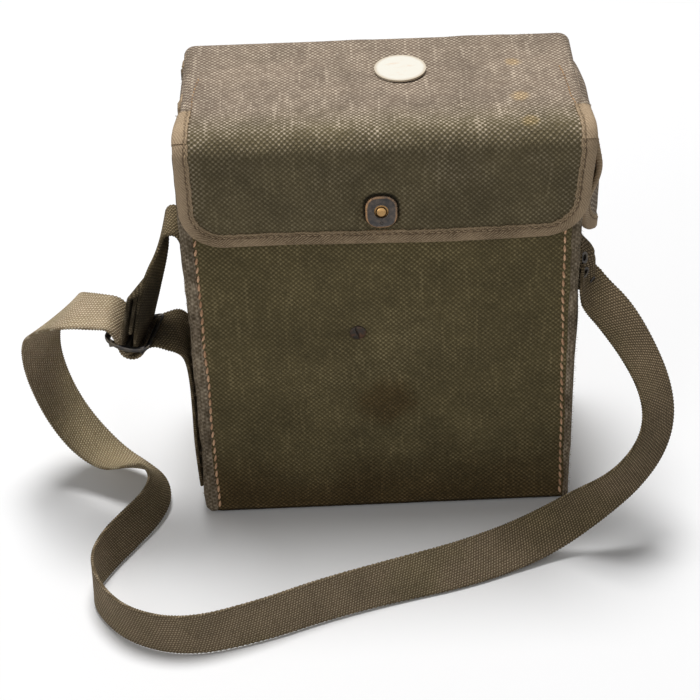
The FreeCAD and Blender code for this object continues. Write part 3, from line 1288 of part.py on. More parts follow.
PARTS = {
    "case_front": case_front,
    "case_back": case_back,
    "case_left": case_left,
    "case_right": case_right,
    "case_bottom": case_bottom,
    "piping_front_left": lambda: piping(-1, -1),
    "piping_front_right": lambda: piping(1, -1),
    "piping_back_left": lambda: piping(-1, 1),
    "piping_back_right": lambda: piping(1, 1),
    "hinge_roll": hinge_roll,
    "snap_stud": snap_stud,
    "front_screw": front_screw,
    "anchor_tab": anchor_tab,
    "anchor_rivets": anchor_rivets,
    "sling_strap": sling_strap,
    "hanger_strap": hanger_strap,
    "strap_slide": strap_slide,
    "cover_panel": cover_panel,
    "cover_binding": cover_binding,
    "ear_left": ear_left,
    "ear_right": ear_right,
    "snap_socket": snap_socket,
    "snap_core": snap_core,
    "cover_disc": cover_disc,
    "chassis_base": chassis_base,
    "chassis_partition": chassis_partition,
    "chassis_panel": chassis_panel,
    "panel_screws": panel_screws,
    "generator_frame": generator_frame,
    "generator_magnets": generator_magnets,
    "pole_shoes": pole_shoes,
    "armature": armature,
    "armature_pinion": armature_pinion,
    "drive_gear": drive_gear,
    "crank_shaft": crank_shaft,
    "crank_arm": crank_arm,
    "crank_knob": crank_knob,
    "ringer_yoke": ringer_yoke,
    "ringer_coil_left": lambda: ringer_coil(coil_places()[0]),
    "ringer_coil_right": lambda: ringer_coil(coil_places()[1]),
    "clapper": clapper,
    "gong_left": lambda: gong(gong_places()[0]),
    "gong_right": lambda: gong(gong_places()[1]),
    "gong_screws": gong_screws,
    "battery_lower": lambda: battery_cell(0),
    "battery_upper": lambda: battery_cell(1),
    "battery_tray": battery_tray,
    "induction_coil": induction_coil,
    "capacitor": capacitor,
    "line_post_bases": post_bases,
    "line_plunger_left": lambda: post_plunger(POST_X[0]),
    "line_plunger_right": lambda: post_plunger(POST_X[1]),
    "selector_screw": selector_screw,
    "lever_bracket": lever_bracket,
    "lever_switch": lever_switch,
    "cord_gland": cord_gland,
    "handset_grip": handset_grip,
    "receiver_cap": receiver_cap,
    "transmitter_cap": transmitter_cap,
    "talk_switch": talk_switch,
}


def main():
    os.makedirs("parts", exist_ok=True)
    for name, make in PARTS.items():
        shape = make()
        if not shape.isValid() or not shape.Solids:
            print("NOT VALID:", name)
        shape.exportStep("parts/%s.step" % name)
    print(len(PARTS), "parts")


main()
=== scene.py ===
import contextlib
import math
from collections import namedtuple

import bmesh
import bpy
from mathutils import Matrix, Vector, noise


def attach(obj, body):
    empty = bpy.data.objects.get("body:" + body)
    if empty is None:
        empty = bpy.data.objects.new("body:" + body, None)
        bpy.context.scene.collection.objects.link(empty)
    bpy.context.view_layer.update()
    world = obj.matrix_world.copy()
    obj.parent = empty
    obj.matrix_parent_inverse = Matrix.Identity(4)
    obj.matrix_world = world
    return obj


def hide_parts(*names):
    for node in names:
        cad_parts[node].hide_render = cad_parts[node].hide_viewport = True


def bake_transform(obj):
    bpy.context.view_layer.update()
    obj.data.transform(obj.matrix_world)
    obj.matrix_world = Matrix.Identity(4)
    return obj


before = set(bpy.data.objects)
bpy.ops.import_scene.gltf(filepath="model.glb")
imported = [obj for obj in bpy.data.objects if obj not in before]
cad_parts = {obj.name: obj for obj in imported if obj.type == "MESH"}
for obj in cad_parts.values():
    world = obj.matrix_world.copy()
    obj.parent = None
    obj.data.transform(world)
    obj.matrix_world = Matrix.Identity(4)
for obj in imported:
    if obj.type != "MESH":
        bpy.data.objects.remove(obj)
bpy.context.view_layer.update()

# Field telephone in its canvas case. Metres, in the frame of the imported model:
# Z up, the front of the case faces -Y, the crank side is +X.

MM = 0.001

# ---- sizes of the case and its cover -----------------------------------------------------

HALF_W = 96 * MM
HALF_D = 45 * MM
RIM = 231 * MM
CLOTH = 3 * MM
CORNER = 4 * MM
COVER_HALF = 98.4 * MM
COVER_REAR = 43.4 * MM
REAR_ROLL = 3.0 * MM
COVER_CLOTH = 2.5 * MM
COVER_REAR_TOP = 234.9 * MM
CREASE_TOP = 237.3 * MM
CREASE = 11 * MM
SKIRT_Y = -49.9 * MM
HEM_Z = 177.3 * MM
HEM_CORNER = 22 * MM
TAPE_WIDTH = 7.5 * MM
TAPE = 0.8 * MM
WEBBING_WIDTH = 25.4 * MM
WEBBING = 1.8 * MM


# ---- building ----------------------------------------------------------------------------

def link(name, data):
    """A new object that shows a mesh, a camera or a lamp."""
    piece = bpy.data.objects.new(name, data)
    bpy.context.scene.collection.objects.link(piece)
    return piece


def deselect():
    for piece in bpy.context.selected_objects:
        piece.select_set(False)


def make_active(piece):
    deselect()
    piece.select_set(True)
    bpy.context.view_layer.objects.active = piece


def primitive(operator, name, **settings):
    """A new piece from one of Blender's primitives, with its place and turn in its mesh."""
    deselect()
    operator(**settings)
    piece = bpy.context.object
    piece.name = name
    bpy.ops.object.transform_apply(location=True, rotation=True, scale=True)
    return piece


@contextlib.contextmanager
def picked(piece, kind, parts, chosen):
    """Edit mode with only those parts of a mesh selected that `chosen` accepts."""
    make_active(piece)
    numbers = [part.index for part in parts if chosen(part)]
    bpy.ops.object.mode_set(mode="EDIT")
    bpy.ops.mesh.select_mode(type=kind)
    bpy.ops.mesh.select_all(action="DESELECT")
    bpy.ops.object.mode_set(mode="OBJECT")
    for group in (piece.data.vertices, piece.data.edges, piece.data.polygons):
        group.foreach_set("select", [False] * len(group))
    for number in numbers:
        parts[number].select = True
    bpy.ops.object.mode_set(mode="EDIT")
    yield
    bpy.ops.object.mode_set(mode="OBJECT")


def picked_points(piece, chosen):
    """Picks points by their place."""
    return picked(piece, "VERT", piece.data.vertices, lambda point: chosen(point.co))


def picked_edges(piece, chosen):
    """Picks edges by their two ends."""
    points = piece.data.vertices
    return picked(piece, "EDGE", piece.data.edges, lambda edge: chosen(*(points[i].co.copy() for i in edge.vertices)))


def picked_faces(piece, chosen):
    """Picks faces by the way they look."""
    return picked(piece, "FACE", piece.data.polygons, lambda face: chosen(face.normal))


def step_top(piece, steps):
    """Insets the top face step by step, each time moving it up: (inset, rise) in millimetres."""
    with picked_faces(piece, lambda normal: normal.z > 0.9):
        for inset, rise in steps:
            bpy.ops.mesh.inset(thickness=inset * MM)
            bpy.ops.transform.translate(value=(0, 0, rise * MM))


def squash(piece, share):
    """Flattens a piece about its middle."""
    with picked_points(piece, lambda place: True):
        bpy.ops.transform.resize(value=(1, 1, share))


def settle(piece, turn, place):
    """Puts a finished piece in its place, with its place in its mesh."""
    make_active(piece)
    piece.matrix_world = Matrix.Translation(place) @ turn.to_4x4()
    bpy.ops.object.transform_apply(location=True, rotation=True, scale=True)


def join(name, pieces):
    make_active(pieces[0])
    for piece in pieces[1:]:
        piece.select_set(True)
    bpy.ops.object.join()
    pieces[0].name = name
    pieces[0].data.name = name
    return pieces[0]


def apply_modifier(piece, kind, **settings):
    make_active(piece)
    modifier = piece.modifiers.new(kind.lower(), kind)
    for setting, value in settings.items():
        setattr(modifier, setting, value)
    bpy.ops.object.modifier_apply(modifier=modifier.name)


def thicken(piece, thickness, side=-1.0):
    """Gives a cloth its thickness, towards its back for side -1 and both ways for 0."""
    apply_modifier(piece, "SOLIDIFY", thickness=thickness, offset=side, use_even_offset=True)


def soften_edges(piece, width, segments, angle=50):
    apply_modifier(piece, "BEVEL", width=width, segments=segments, limit_method="ANGLE",
                   angle_limit=math.radians(angle))


def cut(piece, cutter):
    """Takes the cutter's shape out of a piece and removes the cutter."""
    apply_modifier(piece, "BOOLEAN", object=cutter, operation="DIFFERENCE", solver="EXACT")
    bpy.data.objects.remove(cutter)


def smooth(piece, angle):
    make_active(piece)
    bpy.ops.object.shade_smooth_by_angle(angle=math.radians(angle))


@contextlib.contextmanager
def opened(mesh):
    """A mesh opened for changes to its points and faces, then written back."""
    work = bmesh.new()
    work.from_mesh(mesh)
    yield work
    work.to_mesh(mesh)
    work.free()


def seal(work):
    """Fills the holes of an opened mesh and turns its faces outward."""
    bmesh.ops.holes_fill(work, edges=[edge for edge in work.edges if edge.is_boundary], sides=0)
    bmesh.ops.recalc_face_normals(work, faces=work.faces)


def merge(piece):
    """Joins the points where a skin meets itself."""
    with opened(piece.data) as work:
        bmesh.ops.remove_doubles(work, verts=work.verts, dist=0.01 * MM)


def skin(name, rows, flats):
    """A surface through rows of points; `flats` gives each point's place on the flat cloth."""
    width = len(rows[0])
    corners = [r * width + c for r in range(len(rows) - 1) for c in range(width - 1)]
    mesh = bpy.data.meshes.new(name)
    mesh.from_pydata([place for row in rows for place in row], [],
                     [(corner, corner + 1, corner + 1 + width, corner + width) for corner in corners])
    layer = mesh.uv_layers.new(name="flat")
    places = [place for row in flats for place in row]
    for loop in mesh.loops:
        layer.data[loop.index].uv = places[loop.vertex_index]
    return link(name, mesh)


def closed_skin(name, rows, flats, angle):
    """A skin that meets itself all round, with its two ends filled."""
    piece = skin(name, rows, flats)
    merge(piece)
    with opened(piece.data) as work:
        seal(work)
    smooth(piece, angle)
    return piece


def cloth(name, rows, flats, outward, thickness, side=-1.0):
    """An open skin whose face looks outward, with the cloth's thickness."""
    piece = skin(name, rows, flats)
    if sum(face.normal.dot(outward) * face.area for face in piece.data.polygons) < 0:
        piece.data.flip_normals()
    thicken(piece, thickness, side)
    return piece


def bound_edge(name, rows, flats):
    """A binding tape: a skin folded round a cloth's edge, closed against the cloth and at its cut ends."""
    tape = skin(name, rows, flats)
    width = len(rows[0])
    with opened(tape.data) as work:
        work.verts.ensure_lookup_table()
        for r in range(len(rows) - 1):
            corners = (r * width, (r + 1) * width, (r + 2) * width - 1, (r + 1) * width - 1)
            work.faces.new([work.verts[i] for i in corners])
        seal(work)
    smooth(tape, 60)
    return tape


def spread(start, end, steps):
    """Evenly spaced values from start to end, both among them."""
    return [start + (end - start) * i / steps for i in range(steps + 1)]


def ease(value, start, end):
    """0 before start, 1 after end, smooth between."""
    share = min(1.0, max(0.0, (value - start) / (end - start)))
    return share * share * (3 - 2 * share)


def rounding(radius, past):
    """How far a round corner pulls an edge in, `past` its tip."""
    return radius - math.sqrt(radius ** 2 - max(0.0, radius - past) ** 2)


def ripple(x, y, z, size):
    """Slow unevenness of cloth, between about -1 and 1, with waves about `size` long."""
    return 2 * noise.noise(Vector((x, y, z)) / size)


def distances(points):
    """How far along the line each of its points lies."""
    travelled = [0.0]
    for before, after in zip(points, points[1:]):
        travelled.append(travelled[-1] + (after - before).length)
    return travelled


def hem(left, right, low, radius, starts, counts):
    """Down a cloth's left edge, round its foot and up its right edge: across, down and the way inward.
    The sides begin `starts` down; `counts` are the steps of the left side, a bend, the foot and the right."""
    straight = low - radius
    bend = [math.pi / 2 * i / counts[1] for i in range(counts[1])]
    line = [(left, down, 1.0, 0.0) for down in spread(starts[0], straight, counts[0])[:-1]]
    line += [(left + radius - radius * math.cos(turn), straight + radius * math.sin(turn),
              math.cos(turn), -math.sin(turn)) for turn in bend]
    line += [(across, low, 0.0, -1.0) for across in spread(left + radius, right - radius, counts[2])[:-1]]
    line += [(right - radius + radius * math.sin(turn), straight + radius * math.cos(turn),
              -math.sin(turn), -math.cos(turn)) for turn in bend]
    return line + [(right, down, -1.0, 0.0) for down in spread(straight, starts[1], counts[3])]


# ---- webbing -----------------------------------------------------------------------------

# Control points of the sling, and the way its upper edge lies there, in millimetres.
SLING_ROUTE = (
    ((98.6, -31.5, 152.0), (-0.08, -0.99, 0.00)),
    ((99.3, -31.4, 145.0), (-0.18, -0.98, 0.00)),
    ((101.4, -32.4, 137.0), (-0.34, -0.93, -0.06)),
    ((105.4, -37.6, 131.6), (-0.50, -0.85, -0.15)),
    ((114.6, -46.0, 125.0), (-0.68, -0.72, -0.12)),
    ((125.4, -54.5, 110.0), (-0.72, -0.69, 0.10)),
    ((133.8, -65.5, 94.5), (-0.72, -0.62, 0.30)),
    ((136.0, -75.0, 80.0), (-0.71, -0.57, 0.42)),
    ((131.0, -82.0, 65.0), (-0.71, -0.45, 0.54)),
    ((119.0, -85.0, 47.5), (-0.72, -0.30, 0.63)),
    ((101.0, -84.0, 30.5), (-0.70, 0.05, 0.71)),
    ((82.0, -86.0, 16.5), (-0.60, 0.30, 0.74)),
    ((62.0, -94.0, 12.0), (-0.40, 0.40, 0.82)),
    ((33.0, -106.5, 12.4), (-0.27, 0.34, 0.90)),
    ((-2.0, -117.0, 13.2), (-0.20, 0.20, 0.96)),
    ((-36.0, -128.0, 13.4), (-0.24, 0.14, 0.96)),
    ((-68.0, -141.5, 13.5), (-0.18, 0.12, 0.98)),
    ((-104.0, -151.5, 13.6), (-0.06, 0.06, 1.00)),
    ((-133.0, -143.0, 13.7), (0.05, -0.02, 1.00)),
    ((-150.0, -124.5, 14.2), (0.12, -0.10, 0.99)),
    ((-155.5, -106.2, 14.6), (0.02, 0.08, 1.00)),
    ((-148.5, -88.0, 13.9), (-0.16, 0.10, 0.98)),
    ((-138.5, -73.0, 13.9), (-0.20, 0.08, 0.98)),
    ((-127.5, -57.0, 14.2), (-0.22, 0.00, 0.97)),
    ((-123.0, -43.0, 15.7), (-0.36, -0.16, 0.92)),
    ((-127.5, -31.0, 17.2), (-0.50, -0.34, 0.80)),
    ((-139.0, -23.8, 14.8), (-0.55, -0.68, 0.50)),
    ((-151.0, -16.8, 13.6), (-0.52, -0.82, 0.18)),
    ((-165.0, -8.4, 22.5), (-0.58, -0.81, -0.06)),
    ((-175.0, -3.8, 38.0), (-0.61, -0.79, -0.10)),
    ((-181.2, -1.4, 56.0), (-0.64, -0.76, -0.10)),
    ((-184.2, -0.6, 75.0), (-0.70, -0.71, -0.08)),
    ((-181.8, -3.2, 94.0), (-0.76, -0.64, -0.06)),
    ((-173.0, -12.2, 108.6), (-0.71, -0.68, -0.18)),
    ((-165.0, -23.8, 121.0), (-0.60, -0.75, -0.27)),
    ((-160.5, -30.5, 127.5), (-0.44, -0.87, -0.22)),
    ((-154.5, -34.5, 130.6), (-0.26, -0.96, -0.14)),
    ((-146.0, -37.0, 131.4), (-0.12, -0.98, -0.12)),
    ((-136.0, -38.0, 130.6), (-0.22, -0.97, -0.04)),
    ((-132.6, -38.0, 121.0), (-0.22, -0.97, 0.00)),
    ((-131.0, -38.0, 112.0), (-0.20, -0.98, 0.00)),
    ((-123.4, -38.0, 110.6), (-0.18, -0.98, 0.00)),
    ((-119.0, -38.0, 118.4), (-0.14, -0.99, 0.00)),
    ((-112.8, -38.3, 119.6), (-0.10, -0.99, -0.06)),
    ((-105.2, -35.4, 116.6), (-0.12, -0.93, -0.33)),
    ((-101.4, -31.4, 107.5), (-0.08, -0.96, -0.26)),
    ((-100.9, -30.2, 90.0), (-0.02, -0.99, -0.08)),
    ((-101.4, -30.0, 68.0), (0.00, -1.00, 0.00)),
    ((-102.2, -30.0, 40.0), (0.00, -1.00, 0.00)),
    ((-101.2, -30.0, 15.0), (0.00, -1.00, 0.00)),
)

# The same for the short strap that carries the slide, from its sewn end on the left wall.
HANGER_ROUTE = (
    ((-98.0, -28.0, 151.0), (0.00, 1.00, 0.00)),
    ((-98.1, -28.0, 166.0), (0.00, 1.00, 0.00)),
    ((-100.0, -28.0, 179.0), (0.00, 1.00, 0.00)),
    ((-107.0, -28.0, 180.0), (0.02, 1.00, 0.00)),
    ((-109.6, -29.2, 171.0), (0.10, 0.99, 0.00)),
    ((-111.4, -33.0, 164.5), (0.28, 0.96, 0.00)),
    ((-114.2, -36.6, 155.5), (0.40, 0.91, 0.00)),
    ((-117.0, -38.0, 145.5), (0.42, 0.91, 0.00)),
    ((-119.6, -38.0, 134.0), (0.38, 0.92, 0.00)),
    ((-122.2, -38.0, 123.0), (0.34, 0.94, 0.00)),
    ((-123.4, -38.0, 115.0), (0.28, 0.96, 0.00)),
    ((-129.6, -38.0, 113.4), (0.26, 0.97, 0.00)),
    ((-130.6, -38.0, 120.0), (0.30, 0.95, 0.00)),
    ((-127.6, -38.0, 130.5), (0.34, 0.94, 0.00)),
    ((-124.0, -38.0, 140.0), (0.38, 0.92, 0.00)),
    ((-122.0, -38.0, 149.6), (0.40, 0.91, 0.00)),
    ((-118.4, -38.0, 148.4), (0.40, 0.91, 0.00)),
    ((-121.0, -38.0, 139.0), (0.38, 0.92, 0.00)),
    ((-124.4, -38.0, 126.0), (0.34, 0.94, 0.00)),
)

# Half a turn round the webbing's section: share of the half width, share of the half thickness.
SELVEDGE = ((1.0, 0.0), (0.995, 0.45), (0.975, 0.8), (0.93, 0.98), (0.85, 0.94), (0.5, 0.9), (0.0, 0.9),
            (-0.5, 0.9), (-0.85, 0.94), (-0.93, 0.98), (-0.975, 0.8), (-0.995, 0.45))
SELVEDGE_LOOP = 0.25 * MM
SELVEDGE_PITCH = 1.6 * MM


def smooth_line(name, places):
    """Points along one NURBS spline that has `places` as its control points."""
    curve = bpy.data.curves.new(name, "CURVE")
    curve.dimensions = "3D"
    spline = curve.splines.new("NURBS")
    spline.points.add(len(places) - 1)
    for point, place in zip(spline.points, places):
        point.co = (*place, 1)
    spline.order_u = 3
    spline.use_endpoint_u = True
    spline.resolution_u = 36
    holder = bpy.data.objects.new(name, curve)
    line = bpy.data.meshes.new_from_object(holder)
    points = [vertex.co.copy() for vertex in line.vertices]
    bpy.data.objects.remove(holder)
    bpy.data.meshes.remove(line)
    bpy.data.curves.remove(curve)
    return points


def webbing(name, route):
    """A webbing strap along a route, and its centre line."""
    places = [Vector(place) * MM for place, edge in route]
    edges = [place + Vector(edge).normalized() * MM for place, (centre, edge) in zip(places, route)]
    centres = smooth_line(name, places)
    upper = smooth_line(name, edges)
    section = SELVEDGE + tuple((-side, -lift) for side, lift in SELVEDGE) + (SELVEDGE[0],)
    along = distances(centres)
    rows, flats = [], []
    for i, centre in enumerate(centres):
        travel = (centres[min(i + 1, len(centres) - 1)] - centres[max(i - 1, 0)]).normalized()
        ruling = (upper[i] - centre).normalized()
        normal = travel.cross(ruling)
        loops = SELVEDGE_LOOP * math.sin(along[i] * 2 * math.pi / SELVEDGE_PITCH)
        wide = ruling * ((WEBBING_WIDTH / 2 + loops) / normal.length)
        thick = normal.normalized() * (WEBBING / 2)
        rows.append([centre + wide * side + thick * lift for side, lift in section])
        flats.append([(side * WEBBING_WIDTH / 2, along[i]) for side, lift in section])
    return closed_skin(name, rows, flats, 60), centres


sling, sling_line = webbing("sling", SLING_ROUTE)
hanger = webbing("slide_strap", HANGER_ROUTE)[0]
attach(sling, "case")
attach(hanger, "case")
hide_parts("sling_strap")
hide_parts("hanger_strap")


# ---- thread ------------------------------------------------------------------------------

def thread_bead(length, radius):
    """One stitch along X, sunk at both ends."""
    bead = primitive(bpy.ops.mesh.primitive_uv_sphere_add, "bead", segments=8, ring_count=6, radius=1,
                     rotation=(0, math.pi / 2, 0))
    for vertex in bead.data.vertices:
        x, y, z = vertex.co
        full = 1 - 0.35 * abs(x) ** 3
        vertex.co = (x * length / 2, y * radius * full, z * radius * full - radius * 0.9 * x * x)
    return bead


def station(line, travelled, middle):
    """A stop on a line of (place, normal), `middle` along it: its place, normal, the way on and across."""
    k = max(j for j in range(len(travelled) - 1) if travelled[j] <= middle)
    share = (middle - travelled[k]) / (travelled[k + 1] - travelled[k])
    place, normal = line[k]
    after = line[k + 1][0]
    ahead = (after - place).normalized()
    return place.lerp(after, share), normal, ahead, normal.cross(ahead).normalized()


def stitches(name, line, pitch, length, radius, slant=0.0):
    """A row of stitches along `line`, a list of (place, normal); `slant` turns each one."""
    bead = thread_bead(length, radius)
    travelled = distances([place for place, normal in line])
    count = int(travelled[-1] / pitch)
    mesh = bpy.data.meshes.new(name)
    with opened(mesh) as work:
        for i in range(count):
            centre, normal, ahead, side = station(line, travelled, (i + 0.5) * travelled[-1] / count)
            wobble = noise.noise(Vector((i * 1.7, pitch * 9000, 0.5)))
            turn = slant + 0.25 * wobble
            heading = ahead * math.cos(turn) + side * math.sin(turn)
            shape = Matrix((heading, normal.cross(heading), normal)).transposed().to_4x4()
            start = len(work.verts)
            work.from_mesh(bead.data)
            work.verts.ensure_lookup_table()
            for vertex in work.verts[start:]:
                vertex.co = shape @ (vertex.co * (1 + 0.15 * wobble)) + centre
    bpy.data.objects.remove(bead)
    row = link(name, mesh)
    smooth(row, 80)
    return row


FRAY_WIDTH = 0.09 * MM


def frays(name, line, count, length, spread_wide, seed):
    """Broken fibres standing out along a worn edge; `line` holds (place, normal)."""
    faces, points = [], []
    travelled = distances([place for place, normal in line])
    for i in range(count):
        chance = [0.5 + 0.5 * math.sin((i + seed) * factor) for factor in (12.9898, 78.233, 37.719, 94.673, 53.11)]
        centre, normal, ahead, side = station(line, travelled, travelled[-1] * ((i + chance[0]) / (count + 1)))
        root = centre + side * spread_wide * (chance[1] * 2 - 1) - normal * 0.3 * MM
        lean = ahead * (chance[2] * 2 - 1) + side * (chance[3] * 2 - 1) * 1.3
        reach = length * (0.4 + 0.6 * chance[4])
        bend = root + (normal * 0.7 + lean * 0.4).normalized() * reach * 0.6
        tip = bend + (normal * 0.25 + lean * 0.8).normalized() * reach * 0.4
        width = ahead.cross(lean + normal * 0.3).normalized() * FRAY_WIDTH
        deep = normal.cross(width).normalized() * FRAY_WIDTH
        start = len(points)
        for place, size in ((root, 1.0), (bend, 0.8)):
            points.extend((place + width * size, place - width * size * 0.5 + deep * size,
                           place - width * size * 0.5 - deep * size))
        points.append(tip)
        for a, b in ((0, 1), (1, 2), (2, 0)):
            faces.append((start + a, start + b, start + b + 3, start + a + 3))
            faces.append((start + a + 3, start + b + 3, start + 6))
        faces.append((start, start + 2, start + 1))
    mesh = bpy.data.meshes.new(name)
    mesh.from_pydata(points, [], faces)
    with opened(mesh) as work:
        bmesh.ops.recalc_face_normals(work, faces=work.faces)
    return link(name, mesh)


# ---- the canvas case ---------------------------------------------------------------------

OUTLINE_STEP = 2.5 * MM
ROW_STEP = 3 * MM
SHELL_FOOT = 1.2 * MM
WALL_SWELL = 1.5 * MM
SIDE_SWELL = 0.5 * MM
SCREW_X = -14.5 * MM
SCREW_Z = 118.7 * MM
SCREW_DIMPLE = 11 * MM
WINDOW_CENTRE = Vector((96, 3, 188)) * MM
WINDOW_RADIUS = 33 * MM
SEAM_CENTRE_X = 94.6 * MM
SEAM_CENTRE_Y = 42.8 * MM
SEAM_HALF_WIDTH = 3.9 * MM
SEAM_HALF_DEPTH = 3.0 * MM
SEAM_FOOT = 0.9 * MM
SEAM_STEPS = 110
STITCHED_TOP = 222 * MM
STITCHED_FOOT = 4 * MM
SEAM_PITCH = 5.2 * MM
SEAM_STITCH = 4.9 * MM
SEAM_THREAD = 0.68 * MM

# The upright corners: side -1 is left, end -1 is front.
CORNERS = [(side, end, ("front" if end < 0 else "back") + ("_left" if side < 0 else "_right"))
           for end in (-1, 1) for side in (-1, 1)]


def case_outline():
    """Points round the case, anticlockwise from above: x, y, outward normal, distance round."""
    outline = []
    reach_x = HALF_W - CORNER
    reach_y = HALF_D - CORNER
    quarters = ((reach_x, -reach_y, -90), (reach_x, reach_y, 0), (-reach_x, reach_y, 90), (-reach_x, -reach_y, 180))
    for x, y, start in quarters:
        for i in range(5):
            turn = math.radians(start + 22.5 * i)
            nx, ny = math.cos(turn), math.sin(turn)
            outline.append((x + CORNER * nx, y + CORNER * ny, nx, ny))
    ring = []
    for before, after in zip(outline, outline[1:] + outline[:1]):
        steps = max(1, round(math.dist(before[:2], after[:2]) / OUTLINE_STEP))
        ring += [[a + (b - a) * i / steps for a, b in zip(before, after)] for i in range(steps)]
    ring.append(ring[0])
    travelled = distances([Vector((x, y, 0)) for x, y, nx, ny in ring])
    return [(*place, along) for place, along in zip(ring, travelled)]


def wall_swell(x, y, nx, ny, z):
    """How far the canvas wall stands out: fullest low down, held at seams, rim, floor and front screw."""
    across, half, full = (x, HALF_W, WALL_SWELL) if abs(ny) > abs(nx) else (y, HALF_D, SIDE_SWELL)
    held = ease(RIM - z, 0.0, 60 * MM) * ease(z, 0.0, 30 * MM) * max(0.0, 1 - (across / half) ** 2)
    if y < 0:
        held *= 1 - 0.95 * math.exp(-(math.hypot(x - SCREW_X, z - SCREW_Z) / SCREW_DIMPLE) ** 2)
    dents = ripple(x, y, z, 45 * MM) * 0.9 * MM + ripple(x, y, z, 18 * MM) * 0.35 * MM
    return held * (full + dents)


def foot_lean(x, y, z):
    """The front has settled forward at its foot, more on the left than on the right."""
    front = ease(-y, 38 * MM, 45 * MM)
    return front * (1 - ease(z, 0.0, 90 * MM)) * (2.0 - 1.0 * x / HALF_W) * MM


def wall_point(x, y, nx, ny, z):
    swell = wall_swell(x, y, nx, ny, z)
    foot = 1.6 * MM * (1 - ease(z, 0.0, 5 * MM)) ** 2
    return Vector((x + nx * (swell - foot), y + ny * (swell - foot) - foot_lean(x, y, z), z))


def canvas_walls():
    """The four walls in one skin, with the crank window cut out."""
    steps = round((RIM - SHELL_FOOT) / ROW_STEP)
    heights = spread(SHELL_FOOT, RIM, steps)
    heights[1:1] = [2.2 * MM, 3.2 * MM]
    ring = case_outline()
    rows = [[wall_point(x, y, nx, ny, z) for x, y, nx, ny, along in ring] for z in heights]
    flats = [[(along, z) for x, y, nx, ny, along in ring] for z in heights]
    walls = skin("canvas_walls", rows, flats)
    merge(walls)
    thicken(walls, CLOTH)
    cut(walls, primitive(bpy.ops.mesh.primitive_cylinder_add, "window_cutter", vertices=64, radius=WINDOW_RADIUS,
                         depth=40 * MM, location=WINDOW_CENTRE, rotation=(0, math.pi / 2, 0)))
    smooth(walls, 45)
    return walls


def window_binding():
    """A narrow tape round the edge of the crank window."""
    rows, flats = [], []
    reach = 5 * MM
    section = ((reach, 0.3 * MM), (reach * 0.6, 0.9 * MM), (1.2 * MM, 1.0 * MM), (0.2 * MM, 0.7 * MM),
               (-TAPE, -0.6 * MM), (-TAPE, -CLOTH + 0.6 * MM), (0.2 * MM, -CLOTH - 0.5 * MM),
               (reach, -CLOTH - 0.4 * MM))
    for turn in spread(0, 2 * math.pi, 120):
        away = Vector((0, math.cos(turn), math.sin(turn)))
        edge = WINDOW_CENTRE + away * WINDOW_RADIUS
        rows.append([edge + away * out + Vector((lift, 0, 0)) for out, lift in section])
        flats.append([(out - lift + 4 * MM, turn * WINDOW_RADIUS) for out, lift in section])
    tape = skin("window_binding", rows, flats)
    merge(tape)
    thicken(tape, 0.35 * MM, 0.0)
    smooth(tape, 60)
    return tape


def canvas_base():
    """The bottom panel: its edge turned in all round, flat where it stands."""
    rows, flats = [], []
    ring = case_outline()
    for height, inset in ((0.0, 1.9), (0.25, 1.1), (0.9, 0.5), (1.8, 0.35), (3, 0.5)):
        lift = Vector((0, 0, (height - 3) * MM))
        pull = inset * MM
        rows.append([wall_point(x - nx * pull, y - ny * pull, nx, ny, 3 * MM) + lift for x, y, nx, ny, along in ring])
        flats.append([(along, (height - inset) * MM) for x, y, nx, ny, along in ring])
    return closed_skin("canvas_base", rows, flats, 50)


def seam_reach(side, end, z):
    """A rolled seam's middle and half width across: the front right one is narrow and draws in towards its foot."""
    if side > 0 and end < 0:
        half = (3.1 - 1.0 * (1 - ease(z, 0.0, 180 * MM))) * MM
        return 95.9 * MM - half, half
    return SEAM_CENTRE_X + (0.9 if side < 0 else -0.6) * MM, SEAM_HALF_WIDTH


def rolled_seam(side, end, label):
    """The turned-out seam along an upright edge: two worn layers of canvas with a crack between."""
    top = RIM - (2 * MM if end < 0 else 7 * MM)
    rows, flats = [], []
    turns = spread(0, 2 * math.pi, 32)
    for z in spread(SEAM_FOOT, top, SEAM_STEPS):
        close = min(z - 0.2 * MM, top + 0.03 * MM - z)
        cap = math.sqrt(max(0.02, 1 - max(0.0, 1 - close / (2.5 * MM)) ** 2))
        lump = 1 + 0.08 * ripple(side, end, z / (26 * MM), 1) + 0.05 * ripple(side, end + 3, z / (8 * MM), 1)
        middle, half = seam_reach(side, end, z)
        x = side * (middle + 0.5 * MM * ripple(side, z / (50 * MM), 0, 1))
        y = end * (SEAM_CENTRE_Y + 0.3 * MM * ripple(end, z / (35 * MM), side, 1))
        centre = Vector((x, y - foot_lean(x, y, z), z))
        crack_turn = 0.62 + 0.1 * ripple(z / (12 * MM), side, end, 1)
        row = []
        for turn in turns:
            grow = cap * lump * (1 - 0.16 * math.exp(-((turn - crack_turn) / 0.13) ** 2))
            across = abs(math.cos(turn)) ** 0.8 * math.copysign(1, math.cos(turn))
            row.append(centre + Vector((side * across * half * grow,
                                        end * math.sin(turn) * SEAM_HALF_DEPTH * grow, 0)))
        rows.append(row)
        flats.append([(turn * 3.4 * MM, z) for turn in turns])
    return closed_skin("rolled_seam_" + label, rows, flats, 70)


def seam_line(side, end):
    """Where the thick seam thread runs, from under the cover down to the foot."""
    line = []
    for z in spread(STITCHED_TOP, STITCHED_FOOT, 70):
        low = 1 - ease(z, 0.0, 180 * MM)
        x = 92.2 * MM if side < 0 else 87.8 * MM + 3.0 * MM * low
        x = side * (x + 0.35 * MM * ripple(side, z, end, 25 * MM))
        out = Vector((0, end, 0))
        line.append((wall_point(x, end * HALF_D, 0, end, z) + out * 0.35 * MM, out))
    return line


